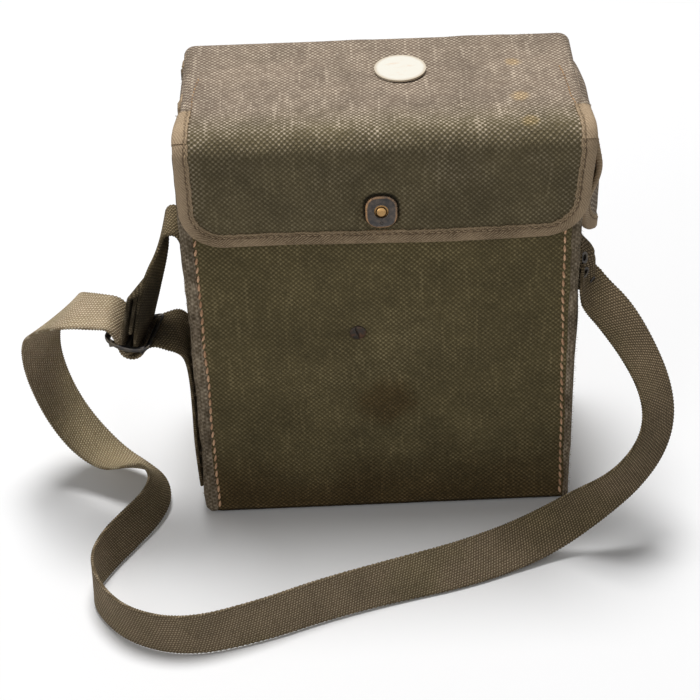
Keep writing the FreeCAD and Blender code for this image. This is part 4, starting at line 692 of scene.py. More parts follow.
def seam_edge_line(side, end):
    """Along the outermost edge of a rolled seam."""
    away = Vector((side, end * 0.6, 0)).normalized()
    y = end * (SEAM_CENTRE_Y + SEAM_HALF_DEPTH * 0.7)
    line = []
    for z in spread(6 * MM, 176 * MM if end < 0 else 222 * MM, 60):
        middle, half = seam_reach(side, end, z)
        x = side * (middle + half * 0.75)
        line.append((Vector((x, y - foot_lean(x, y, z), z)), away))
    return line


walls = canvas_walls()
base = canvas_base()
window_tape = window_binding()
seams = [rolled_seam(*corner) for corner in CORNERS]
seam_threads, seam_frays = [], []
for side, end, label in CORNERS:
    line = seam_line(side, end)
    seam_threads.append(stitches("seam_thread_" + label, line, SEAM_PITCH, SEAM_STITCH, SEAM_THREAD, 0.14 * side))
    seam_frays.append(frays("seam_fray_" + label, seam_edge_line(side, end), 260, 1.9 * MM, 2.2 * MM, 3 * side + end))
    seam_frays.append(frays("thread_fray_" + label, line, 110, 1.8 * MM, 0.9 * MM, 7 * side + end))

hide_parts("case_front", "case_back", "case_left", "case_right")
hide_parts("case_bottom")
for seam, (side, end, label) in zip(seams, CORNERS):
    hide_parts("piping_" + label)
for piece in [walls, base, window_tape] + seams + seam_threads + seam_frays:
    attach(piece, "case")


# ---- the cover ---------------------------------------------------------------------------

REAR_RUN = REAR_ROLL * math.radians(75)
TOP_RUN = REAR_RUN + COVER_REAR - (SKIRT_Y + CREASE)
CREASE_RUN = CREASE * math.pi / 2
SKIRT_RUN = CREASE_TOP - CREASE - HEM_Z
COVER_RUN = TOP_RUN + CREASE_RUN + SKIRT_RUN
SIDE_ROLL_START = 91.5 * MM
SIDE_ROLL = 5.5 * MM
REAR_CORNER = 2.8 * MM
LEFT_TAPE_START = REAR_RUN + COVER_REAR + 21 * MM
RIGHT_TAPE_START = REAR_RUN + COVER_REAR + 28 * MM


def cover_profile(along):
    """Place and direction of the cover's outer face, `along` from its rear edge: y, z, dy, dz."""
    if along < REAR_RUN:
        turn = (REAR_RUN - along) / REAR_ROLL
        return (COVER_REAR + REAR_ROLL * math.sin(turn), COVER_REAR_TOP - REAR_ROLL * (1 - math.cos(turn)),
                -math.cos(turn), math.sin(turn))
    if along < TOP_RUN:
        rise = (CREASE_TOP - COVER_REAR_TOP) / (TOP_RUN - REAR_RUN)
        return COVER_REAR - (along - REAR_RUN), COVER_REAR_TOP + rise * (along - REAR_RUN), -1.0, 0.0
    if along < TOP_RUN + CREASE_RUN:
        turn = (along - TOP_RUN) / CREASE
        y = SKIRT_Y + CREASE - CREASE * math.sin(turn)
        return y, CREASE_TOP - CREASE + CREASE * math.cos(turn), -math.cos(turn), -math.sin(turn)
    down = along - TOP_RUN - CREASE_RUN
    return SKIRT_Y, CREASE_TOP - CREASE - down, 0.0, -1.0


SNAP_X = -1.3 * MM
SNAP_Z = 195.5 * MM
SNAP_ALONG = TOP_RUN + CREASE_RUN + CREASE_TOP - CREASE - SNAP_Z


def cover_lift(x, along):
    """Unevenness of the cover's cloth: it sags on top, waves along its hem and dips under the snap."""
    inner = 1 - ease(abs(x), 60 * MM, 96 * MM)
    middle = ease(along, 5 * MM, 30 * MM) * (1 - ease(along, TOP_RUN - 22 * MM, TOP_RUN))
    sag = -0.6 * MM * inner * middle
    hem = ease(along, TOP_RUN + CREASE_RUN, COVER_RUN)
    wave = hem * 0.7 * MM * math.sin(x / (24 * MM) + 0.8)
    reach = math.hypot(x - SNAP_X, along - SNAP_ALONG)
    dip = -0.9 * MM * (1 - ease(reach, 9.0 * MM, 12.5 * MM)) - 0.6 * MM * math.exp(-(reach / (26 * MM)) ** 2)
    dents = 0.3 * MM * ripple(x, along, 0.3, 34 * MM) + 0.1 * MM * ripple(x, along, 0.9, 12 * MM)
    return sag + wave + dip + dents * inner


def cover_point(across, along, height=0.0):
    """A point `height` above the cover's outer face, with the normal there. Distances are on the flat cloth."""
    y, z, dy, dz = cover_profile(along)
    hand = 1 if across > 0 else -1
    if hand > 0:
        bend_start, bend_end = RIGHT_TAPE_START - 22 * MM, RIGHT_TAPE_START + 4 * MM
    else:
        bend_start, bend_end = LEFT_TAPE_START - 10 * MM, LEFT_TAPE_START + 24 * MM
    bent = 1 - 0.72 * ease(along, bend_start, bend_end)
    past = max(0.0, abs(across) - SIDE_ROLL_START)
    turn = past * bent / SIDE_ROLL
    drop = (1 - math.cos(turn)) * SIDE_ROLL / bent
    x = hand * (SIDE_ROLL_START + math.sin(turn) * SIDE_ROLL / bent) if past > 0 else across
    if hand > 0:
        x += 2.2 * MM * ease(across, 30 * MM, 95 * MM) * math.exp(-((along - TOP_RUN - 12 * MM) / (24 * MM)) ** 2)
    else:
        drawn = ease(along, 6 * MM, 26 * MM) * (1 - ease(along, LEFT_TAPE_START - 2 * MM, LEFT_TAPE_START + 16 * MM))
        x += 0.8 * MM * drawn * ease(-across, 50 * MM, 95 * MM)
    face = Vector((0, dz, -dy))
    normal = (face * math.cos(turn) + Vector((hand, 0, 0)) * math.sin(turn)).normalized()
    return Vector((x, y, z)) - face * drop + normal * height + face * cover_lift(x, along), normal


def cover_rows():
    """Rows across the cover: how far along it each lies, and its half width there."""
    straight = COVER_RUN - HEM_CORNER
    steps = round(straight / (1.8 * MM))
    rows = [(along, COVER_HALF - rounding(REAR_CORNER, along)) for along in spread(0, straight, steps)[:-1]]
    for turn in spread(0, math.pi / 2, 14):
        rows.append((straight + HEM_CORNER * math.sin(turn), COVER_HALF - HEM_CORNER + HEM_CORNER * math.cos(turn)))
    return rows


def canvas_cover():
    """The cover: rolled over the rear rim, flat on top, creased and hanging down in front."""
    rows, flats = [], []
    for along, half in cover_rows():
        row = spread(-half, half, 110)
        rows.append([cover_point(x, along)[0] for x in row])
        flats.append([(x, along) for x in row])
    cover = cloth("canvas_cover", rows, flats, Vector((0, -1, 1)), COVER_CLOTH)
    smooth(cover, 45)
    return cover


def cover_edge(inset, step):
    """The cover's taped edge, `inset` from the cut edge, in steps of about `step`."""
    half = COVER_HALF - inset
    radius = HEM_CORNER - inset
    straight = COVER_RUN - HEM_CORNER
    runs = (straight - LEFT_TAPE_START, radius * math.pi / 2, 2 * (half - radius), straight - RIGHT_TAPE_START)
    return hem(-half, half, COVER_RUN - inset, radius, (LEFT_TAPE_START, RIGHT_TAPE_START),
               [round(run / step) for run in runs])


# Section of the binding tape round a cloth edge: in from the edge, above the outer face.
TAPE_SECTION = ((TAPE_WIDTH, 0.05 * MM), (TAPE_WIDTH, 0.45 * MM), (TAPE_WIDTH * 0.93, 0.75 * MM),
                (TAPE_WIDTH * 0.84, 0.7 * MM), (TAPE_WIDTH * 0.76, 0.6 * MM), (TAPE_WIDTH * 0.66, 0.75 * MM),
                (TAPE_WIDTH * 0.5, 1.1 * MM), (TAPE_WIDTH * 0.3, 1.15 * MM), (0.8 * MM, 0.8 * MM),
                (-0.2 * MM, 0.1 * MM), (-TAPE, -COVER_CLOTH * 0.4), (-TAPE * 0.8, -COVER_CLOTH * 0.8),
                (0.3 * MM, -COVER_CLOTH - 0.4 * MM), (TAPE_WIDTH * 0.5, -COVER_CLOTH - 0.7 * MM),
                (TAPE_WIDTH, -COVER_CLOTH - 0.5 * MM), (TAPE_WIDTH, -COVER_CLOTH - 0.05 * MM))
STITCH_PITCH = 3.1 * MM
STITCH_INSET = 5.8 * MM


def cover_tape(name, extra=0.0, first=0.0, last=1.0):
    """The binding tape, or a lap of it `extra` higher over the first or last stretch."""
    rows, flats = [], []
    edge = cover_edge(0.0, 0.8 * MM)
    travelled = distances([cover_point(*stop[:2])[0] for stop in edge])
    for (x, along, in_x, in_along), reached in zip(edge, travelled):
        if not first <= reached / travelled[-1] <= last:
            continue
        puff = 1 + 0.16 * ripple(reached, 0.2, extra, 14 * MM)
        pinch = 0.5 + 0.5 * math.cos(2 * math.pi * reached / STITCH_PITCH)
        scallop = 0.28 * MM * pinch + 0.3 * MM * ripple(reached, 0.7, extra, 3 * MM)
        row = []
        for k, (inward, above) in enumerate(TAPE_SECTION):
            if above > 0.2 * MM:
                above = above * puff + extra
            if 2 <= k <= 5:
                above -= 0.45 * MM * pinch ** 2 * (1 - 0.35 * abs(k - 3.5))
            if k < 4:
                inward -= scallop
            if inward < MM:
                inward -= extra * 0.6
            place, normal = cover_point(x + in_x * inward, along + in_along * inward)
            row.append(place + normal * above)
        rows.append(row)
        flats.append([(round_tape, reached) for round_tape in distances(row)])
    return bound_edge(name, rows, flats)


def cover_line(inset, height):
    """Round the cover along its tape, `inset` from the edge and `height` above the cloth."""
    return [cover_point(*stop[:2], height) for stop in cover_edge(inset, 2 * MM)]


def side_seam_line(side, stop):
    """The stitches that hold a side flap, wandering along the top's edge."""
    line = []
    for along in spread(36 * MM, stop + 1 * MM, 40):
        wander = 5.0 * MM * ease(along, 10 * MM, stop) + 0.5 * MM * ripple(along, side, 0, 12 * MM)
        line.append(cover_point(side * (86.5 * MM + wander), along, 0.15 * MM))
    return line


def lap_fray(tag, side, start):
    """Broken fibres where a side's tape begins."""
    line = [cover_point(side * (COVER_HALF - reach * MM), start + 0.5 * MM, 0.9 * MM) for reach in (0, 2, 4, 6, 8)]
    return frays("lap_fray_" + tag, line, 46, 2.4 * MM, 0.9 * MM, 11 * side)


cover = canvas_cover()
binding = cover_tape("cover_tape")
lap_left = cover_tape("tape_lap_left", 0.5 * MM, last=0.075)
lap_right = cover_tape("tape_lap_right", 0.45 * MM, first=0.935)
tape_thread = stitches("tape_thread", cover_line(STITCH_INSET, 0.86 * MM), STITCH_PITCH, 2.5 * MM, 0.36 * MM)
tape_fray = frays("tape_fray", cover_line(TAPE_WIDTH + 0.1 * MM, 0.4 * MM), 420, 1.0 * MM, 0.35 * MM, 5)
rear_line = [(cover_point(across, 4 * MM, 0.1 * MM)[0], Vector((0, 0.7, 0.7)))
             for across in spread(-92 * MM, 92 * MM, 60)]
cover_frays = [tape_fray, frays("rear_fray", rear_line, 150, 1.1 * MM, 1.5 * MM, 21),
               lap_fray("left", -1, LEFT_TAPE_START), lap_fray("right", 1, RIGHT_TAPE_START)]
cover_threads = [
    stitches("cover_thread_left", side_seam_line(-1, LEFT_TAPE_START), 2.9 * MM, 2.5 * MM, 0.3 * MM, 0.2),
    stitches("cover_thread_right", side_seam_line(1, RIGHT_TAPE_START), 2.9 * MM, 2.6 * MM, 0.34 * MM, 0.2)]

2 * COVER_HALF * COVER_RUN * 0.985
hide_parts("cover_panel")
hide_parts("cover_binding")
for piece in [cover, binding, lap_left, lap_right, tape_thread] + cover_threads + cover_frays:
    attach(piece, "cover")


# ---- the snap fastener and the front screw -----------------------------------------------

SNAP_TILT = math.radians(9)
SNAP_HALF_WIDTH = 7.6 * MM
SNAP_HALF_HEIGHT = 8.2 * MM
SNAP_OUT = Vector((0, -math.cos(SNAP_TILT), math.sin(SNAP_TILT)))
SNAP_UP = Vector((0, math.sin(SNAP_TILT), math.cos(SNAP_TILT)))
SNAP_PLACE = Vector((SNAP_X, -49.4 * MM, SNAP_Z))
SNAP_FRAME = Matrix((Vector((1, 0, 0)), SNAP_UP, SNAP_OUT)).transposed()
PLATE_THICKNESS = 2.4 * MM
PLATE_CORNER = 6.2 * MM
PLATE_HOLE = 3.65 * MM
LIP_RADIUS = 3.8 * MM
LIP_ROLL = 0.36 * MM
DIMPLE_RADIUS = 0.9 * MM
HEAD_RADIUS = 3.6 * MM
HEAD_THICKNESS = 1.0 * MM
SCREW_RADIUS = 4.1 * MM
SCREW_THICKNESS = 1.6 * MM
SCREW_SLOT_TURN = math.radians(108)
CUTTER_DEPTH = 8 * MM


def rounded_block(name, size, corner, segments):
    """A block round the origin whose four upright edges are rounded."""
    block = primitive(bpy.ops.mesh.primitive_cube_add, name, size=1, scale=size)
    with picked_edges(block, lambda a, b: abs(a.z - b.z) > size[2] / 2):
        bpy.ops.mesh.bevel(offset=corner, segments=segments)
    return block


def snap_plate():
    """The pressed plate: raised worn rim, dished middle, a hole with a turned-in lip and one small dimple."""
    plate = rounded_block("fastener_plate", (SNAP_HALF_WIDTH * 2, SNAP_HALF_HEIGHT * 2, PLATE_THICKNESS),
                          PLATE_CORNER, 10)
    step_top(plate, ((0.35, 0.3), (0.55, 0.02), (0.5, -0.32), (0.7, -0.2), (0.9, -0.04)))
    cut(plate, primitive(bpy.ops.mesh.primitive_cylinder_add, "plate_cutter", vertices=48, radius=PLATE_HOLE,
                         depth=CUTTER_DEPTH))
    soften_edges(plate, 0.22 * MM, 2, 55)
    lip = primitive(bpy.ops.mesh.primitive_torus_add, "plate_lip", major_radius=LIP_RADIUS, minor_radius=LIP_ROLL,
                    major_segments=48, minor_segments=10, location=(0, 0, 1.0 * MM))
    squash(lip, 0.7)
    cut(plate, primitive(bpy.ops.mesh.primitive_uv_sphere_add, "dimple_cutter", segments=20, ring_count=10,
                         radius=DIMPLE_RADIUS, location=(0, -6.0 * MM, 1.35 * MM)))
    plate = join("fastener_plate", [plate, lip])
    settle(plate, SNAP_FRAME, SNAP_PLACE + SNAP_OUT * 0.3 * MM)
    smooth(plate, 35)
    return plate


def snap_head():
    """The brass stud head that shows in the plate's hole."""
    head = primitive(bpy.ops.mesh.primitive_cylinder_add, "fastener_head", vertices=40, radius=HEAD_RADIUS,
                     depth=HEAD_THICKNESS, location=(0, 0, -HEAD_THICKNESS / 2))
    step_top(head, ((0.8, 0.0), (0.12, 0.5), (0.36, 0.36), (0.62, 0.26), (0.8, 0.12)))
    settle(head, SNAP_FRAME, SNAP_PLACE - SNAP_UP * 0.75 * MM - SNAP_OUT * 0.2 * MM)
    smooth(head, 50)
    return head


def screw_head():
    """The slotted screw head in the front panel, slightly domed."""
    screw = primitive(bpy.ops.mesh.primitive_cylinder_add, "front_screw_head", vertices=48, radius=SCREW_RADIUS,
                      depth=SCREW_THICKNESS)
    step_top(screw, ((0.35, 0.3), (0.6, 0.22), (0.9, 0.18), (1.0, 0.08)))
    cut(screw, primitive(bpy.ops.mesh.primitive_cube_add, "slot_cutter", size=1, location=(0, 0, 1.5 * MM),
                         rotation=(0, 0, SCREW_SLOT_TURN), scale=(10 * MM, 1.0 * MM, 1.7 * MM)))
    settle(screw, Matrix.Rotation(math.radians(90), 3, "X"), Vector((SCREW_X, -HALF_D, SCREW_Z)))
    smooth(screw, 40)
    return screw


screw = screw_head()
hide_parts("front_screw")
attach(screw, "case")

plate = snap_plate()
head = snap_head()
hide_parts("snap_socket")
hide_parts("snap_core")
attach(plate, "cover")
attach(head, "cover")


# ---- the side flaps ----------------------------------------------------------------------

Flap = namedtuple("Flap", "side front back drop corner bulge bulge_drop thickness")
LEFT_FLAP = Flap(-1, -5 * MM, 40 * MM, 48 * MM, 20 * MM, 2.0 * MM, 5 * MM, 1.4 * MM)
RIGHT_FLAP = Flap(1, -23.5 * MM, 40 * MM, 83 * MM, 25 * MM, 11.8 * MM, 50 * MM, 2 * MM)
FLAP_TOP = 233.2 * MM
FLAP_SEWN_IN = 1.6 * MM
LEFT_TUCK = 1.2 * MM
FLAP_TAPE = 6.5 * MM


def flap_place(flap, y, down):
    """A point of a flap, `down` from where it is sewn under the cover. The right one bulges over the crank
    and is drawn to the wall at its front foot."""
    x = COVER_HALF - FLAP_SEWN_IN + flap.bulge * ease(down, 1 * MM, flap.bulge_drop)
    if flap.side < 0:
        x -= LEFT_TUCK
    else:
        fold = ease(down, 0.5 * MM, 7 * MM) * (1 - ease(down, 14 * MM, 50 * MM))
        x += 4.2 * MM * fold * (1 - ease(y, 24 * MM, 40 * MM))
        x -= 8.0 * MM * ease(-y, 5 * MM, 24 * MM) * ease(down, 30 * MM, 62 * MM)
    x += 0.5 * MM * ripple(y, down, flap.side, 26 * MM) * ease(down, 5 * MM, 30 * MM)
    x -= flap.bulge * 0.25 * ease(y, 5 * MM, 38 * MM)
    return Vector((flap.side * x, y, FLAP_TOP - down))


def flap_edge(flap):
    """A flap's free edge, from its front top round its foot to its back top."""
    return hem(flap.front, flap.back, flap.drop, flap.corner, (0.0, 0.0), (24, 16, 12, 24))


def flap_cloth(name, flap):
    """A flap's canvas, rounded at its foot."""
    rows, flats = [], []
    straight = flap.drop - flap.corner
    levels = [(down, 0.0) for down in spread(0, straight, round(straight / (2.5 * MM)))[:-1]]
    for turn in spread(0, math.pi / 2, 11):
        levels.append((straight + flap.corner * math.sin(turn), flap.corner - flap.corner * math.cos(turn)))
    for down, pull in levels:
        row = spread(flap.front + pull, flap.back - pull, 24)
        rows.append([flap_place(flap, y, down) for y in row])
        flats.append([(y, down) for y in row])
    piece = cloth(name, rows, flats, Vector((flap.side, 0, 0)), flap.thickness)
    smooth(piece, 45)
    return piece


def flap_tape(name, flap):
    """The binding round a flap's free edge. Its section is in from the edge, above the outer face."""
    rows, flats = [], []
    back = -flap.thickness
    section = ((FLAP_TAPE, 0.05 * MM), (FLAP_TAPE, 0.45 * MM), (FLAP_TAPE * 0.6, 0.75 * MM), (0.7 * MM, 0.7 * MM),
               (-0.3 * MM, 0.2 * MM), (-0.7 * MM, back / 2), (-0.3 * MM, back - 0.1 * MM),
               (0.7 * MM, back - 0.45 * MM), (FLAP_TAPE, back - 0.4 * MM), (FLAP_TAPE, back + 0.1 * MM))
    edge = flap_edge(flap)
    travelled = distances([flap_place(flap, *stop[:2]) for stop in edge])
    for (y, down, in_y, in_down), along in zip(edge, travelled):
        rows.append([flap_place(flap, y + in_y * inward, down + in_down * inward) + Vector((flap.side * above, 0, 0))
                     for inward, above in section])
        flats.append([(FLAP_TAPE - inward + 0.7 * MM, along) for inward, above in section])
    return bound_edge(name, rows, flats)


def flap_thread(name, flap):
    """The stitches along a flap's tape, 5 mm in from the edge."""
    out = Vector((flap.side, 0, 0))
    line = [(flap_place(flap, y + in_y * 5 * MM, down + in_down * 5 * MM) + out * 0.7 * MM, out)
            for y, down, in_y, in_down in flap_edge(flap)]
    return stitches(name, line, STITCH_PITCH, 2.2 * MM, 0.3 * MM)


left_flap = flap_cloth("left_flap", LEFT_FLAP)
right_flap = flap_cloth("right_flap", RIGHT_FLAP)
flap_tapes = [flap_tape("left_flap_tape", LEFT_FLAP), flap_tape("right_flap_tape", RIGHT_FLAP)]
flap_threads = [flap_thread("left_flap_thread", LEFT_FLAP), flap_thread("right_flap_thread", RIGHT_FLAP)]
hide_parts("ear_left")
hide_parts("ear_right")
for piece in [left_flap, right_flap] + flap_tapes + flap_threads:
    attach(piece, "cover")


# ---- the hinge cloth ---------------------------------------------------------------------

# How the strip runs up: y and z, in millimetres.
HINGE_LINE = ((45.3, 216.5), (46.1, 217.5), (46.3, 221.0), (46.5, 226.0), (46.9, 229.5), (47.2, 231.6), (46.9, 233.0),
              (45.9, 233.9), (44.6, 234.2))


def hinge_cloth():
    """A strip of canvas sewn to the back wall, running up under the cover's rolled rear edge."""
    rows, flats = [], []
    travelled = distances([Vector((0, y, z)) * MM for y, z in HINGE_LINE])
    row = spread(4 * MM - HALF_W, HALF_W - 4 * MM, 80)
    for (y, z), along in zip(HINGE_LINE, travelled):
        wave = 0.25 * MM * (1 - ease(along, 13 * MM, 17 * MM))
        rows.append([Vector((x, y * MM + wave * ripple(x, z, 0, 14 * MM), z * MM)) for x in row])
        flats.append([(x, along) for x in row])
    strip = cloth("hinge_cloth", rows, flats, Vector((0, 1, 0.3)), 0.8 * MM)
    smooth(strip, 60)
    return strip


hinge = hinge_cloth()
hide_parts("hinge_roll")
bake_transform(hinge)
hinge_line = [(Vector((x, 46.5 * MM, 219.5 * MM)), Vector((0, 1, 0))) for x in spread(-88 * MM, 88 * MM, 60)]
hinge_thread = stitches("hinge_thread", hinge_line, 3.4 * MM, 2.9 * MM, 0.36 * MM, 0.1)
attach(hinge_thread, "case")


# ---- the anchor tab and its eyelets ------------------------------------------------------

TAB_TOP = 158.8 * MM
TAB_FOOT = 130.5 * MM
TAB_WALL_X = 96.5 * MM
TAB_FRONT_Y = -39.4 * MM
TAB_CREASE_Z = 149.8 * MM
EYELET_RADIUS = 2.35 * MM
EYELET_ROLL = 0.75 * MM
EYELET_BARREL = 1.95 * MM
EYELET_HOLE = 2.05 * MM
# Each eyelet: how far across the tab from its front edge, and how high.
EYELETS = (("anchor_eyelet_upper", 3.4 * MM, 153.6 * MM), ("anchor_eyelet_middle", 2.9 * MM, 145.0 * MM),
           ("anchor_eyelet_lower", 8.5 * MM, 135.0 * MM))


def tab_place(across, z):
    """A point of the tab: it stands out from the wall in a low arch and dips between its eyelets."""
    bulge = 8.6 * MM * ease(TAB_TOP - z, -2 * MM, 9 * MM) - 2.4 * MM * ease(TAB_TOP - z, 20 * MM, 29 * MM)
    arch = ease(across, -0.5 * MM, 11 * MM) - 0.85 * ease(across, 12 * MM, WEBBING_WIDTH)
    crease = 1.0 * MM * math.exp(-((z - TAB_CREASE_Z) / (1.5 * MM)) ** 2)
    pucker = 0.3 * MM * ripple(across, z, 0.4, 7 * MM)
    return Vector((TAB_WALL_X + (bulge - crease) * arch + pucker, TAB_FRONT_Y + across, z))


def tab_frame(across, z):
    """The tab's surface at a point: the place, the way out and the turn of a piece that lies on it."""
    step = 0.3 * MM
    ahead = (tab_place(across + step, z) - tab_place(across - step, z)).normalized()
    upward = (tab_place(across, z + step) - tab_place(across, z - step)).normalized()
    out = ahead.cross(upward).normalized()
    return tab_place(across, z), out, Matrix((ahead, out.cross(ahead), out)).transposed()


def anchor_tab():
    """A doubled end of webbing over the sling's end, rounded at its foot."""
    rows, flats = [], []
    for z in spread(TAB_TOP, TAB_FOOT, 24):
        pull = rounding(10 * MM, z - TAB_FOOT) + rounding(5 * MM, TAB_TOP - z)
        row = spread(pull, WEBBING_WIDTH - pull, 24)
        rows.append([tab_place(across, z) for across in row])
        flats.append([(across - WEBBING_WIDTH / 2, z) for across in row])
    tab = cloth("anchor_tab_webbing", rows, flats, Vector((1, -0.3, 0)), 2.2 * MM, 0.0)
    soften_edges(tab, 0.7 * MM, 3)
    smooth(tab, 60)
    return tab


def eyelet_ring():
    """A rolled eyelet round the origin, with a short dark barrel."""
    ring = primitive(bpy.ops.mesh.primitive_torus_add, "eyelet", major_radius=EYELET_RADIUS,
                     minor_radius=EYELET_ROLL, major_segments=40, minor_segments=12)
    squash(ring, 0.65)
    barrel = primitive(bpy.ops.mesh.primitive_cylinder_add, "barrel", vertices=40, radius=EYELET_BARREL,
                       depth=1.6 * MM, location=(0, 0, -0.6 * MM))
    step_top(barrel, ((0.3, -1.4),))
    return join("eyelet", [ring, barrel])


def eyelet(name, across, z):
    """Punches the tab and sets a copy of the eyelet in the hole."""
    place, out, turn = tab_frame(across, z)
    cutter = primitive(bpy.ops.mesh.primitive_cylinder_add, "eyelet_cutter", vertices=32, radius=EYELET_HOLE,
                       depth=CUTTER_DEPTH)
    settle(cutter, turn, place)
    cut(tab, cutter)
    copy = link(name, first_eyelet.data.copy())
    settle(copy, turn, place + out * 1.25 * MM)
    smooth(copy, 50)
    return copy


tab = anchor_tab()
first_eyelet = eyelet_ring()
eyelets = [eyelet(*hole) for hole in EYELETS]
bpy.data.objects.remove(first_eyelet)
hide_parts("anchor_tab")
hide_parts("anchor_rivets")
for piece in [tab] + eyelets:
    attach(piece, "case")


# ---- the slide ---------------------------------------------------------------------------

SLIDE_CENTRE = Vector((-127.2, -38.0, 122.4)) * MM
SLIDE_TURN = Matrix.Rotation(math.radians(-13), 3, "Z") @ Matrix.Rotation(math.radians(8), 3, "Y")
SLIDE_HALF_LENGTH = 11.9 * MM
SLIDE_HALF_WIDTH = 14.9 * MM
SLIDE_BOW = 4.4 * MM
SLIDE_RAIL = 2.7 * MM
SLIDE_THICKNESS = 2.2 * MM
SLIDE_CORNER = 3.2 * MM
SLIDE_BAR = 1.2 * MM


def slide_buckle():
    """The three-bar slide: a rounded frame bowed along its length, and a round bar across its middle."""
    size = (SLIDE_HALF_LENGTH * 2, SLIDE_HALF_WIDTH * 2, SLIDE_THICKNESS)
    rails = rounded_block("slide_frame", size, SLIDE_CORNER, 6)
    with picked_faces(rails, lambda normal: abs(normal.z) > 0.9):
        bpy.ops.mesh.inset(thickness=SLIDE_RAIL)
        bpy.ops.mesh.delete(type="FACE")
    inner_x = SLIDE_HALF_LENGTH - SLIDE_RAIL + 0.1 * MM
    inner_y = SLIDE_HALF_WIDTH - SLIDE_RAIL + 0.1 * MM
    with picked_edges(rails, lambda *ends: all(abs(end.x) < inner_x and abs(end.y) < inner_y for end in ends)):
        bpy.ops.mesh.bridge_edge_loops()
    for i in range(-4, 5):
        with picked_faces(rails, lambda normal: True):
            bpy.ops.mesh.bisect(plane_co=(2.2 * MM * i, 0, 0), plane_no=(1, 0, 0))
    soften_edges(rails, 0.75 * MM, 3, 60)
    bar = primitive(bpy.ops.mesh.primitive_cylinder_add, "slide_bar", vertices=20, radius=SLIDE_BAR,
                    depth=2 * SLIDE_HALF_WIDTH - 3 * MM, rotation=(math.pi / 2, 0, 0))
    with picked_faces(bar, lambda normal: abs(normal.y) > 0.9):
        bpy.ops.transform.resize(value=(1.25, 1, 1.0))
    slide = join("slide_buckle", [rails, bar])
    for place in sorted({round(vertex.co.x / MM, 1) for vertex in slide.data.vertices}):
        with picked_points(slide, lambda point: abs(point.x / MM - place) < 0.051):
            bow = SLIDE_BOW * (1 - (place * MM / SLIDE_HALF_LENGTH) ** 2)
            bpy.ops.transform.translate(value=(0, 0, -bow))
    settle(slide, SLIDE_TURN, SLIDE_CENTRE)
    smooth(slide, 50)
    return slide


buckle = slide_buckle()
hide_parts("strap_slide")
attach(buckle, "case")


# ---- shader maths ------------------------------------------------------------------------

class Amount:
    """A number or vector that varies over a surface. An expression on it adds the Math nodes."""

    def __init__(self, finish, socket):
        self.finish = finish
        self.socket = socket

    def maths(self, operation, *others):
        inputs = {i: value for i, value in enumerate((self, *others))}
        return self.finish.add("Math", {"operation": operation}, inputs)

    def __add__(self, other):
        return self.maths("ADD", other)

    def __sub__(self, other):
        return self.maths("SUBTRACT", other)

    def __rsub__(self, other):
        return (self * -1).maths("ADD", other)

    def __mul__(self, other):
        return self.maths("MULTIPLY", other)

    def __truediv__(self, other):
        return self.maths("DIVIDE", other)

    def __pow__(self, other):
        return self.maths("POWER", other)

    def sine(self):
        return self.maths("SINE")

    def size(self):
        return self.maths("ABSOLUTE")

    def over(self, floor):
        return self.maths("MAXIMUM", floor)

    def under(self, ceiling):
        return self.maths("MINIMUM", ceiling)

    def rise(self, start, end):
        """0 where it is below start, 1 above end, smooth between."""
        return self.finish.add("MapRange", {"interpolation_type": "SMOOTHSTEP"},
                               {0: self, 1: start, 2: end, 3: 0.0, 4: 1.0})


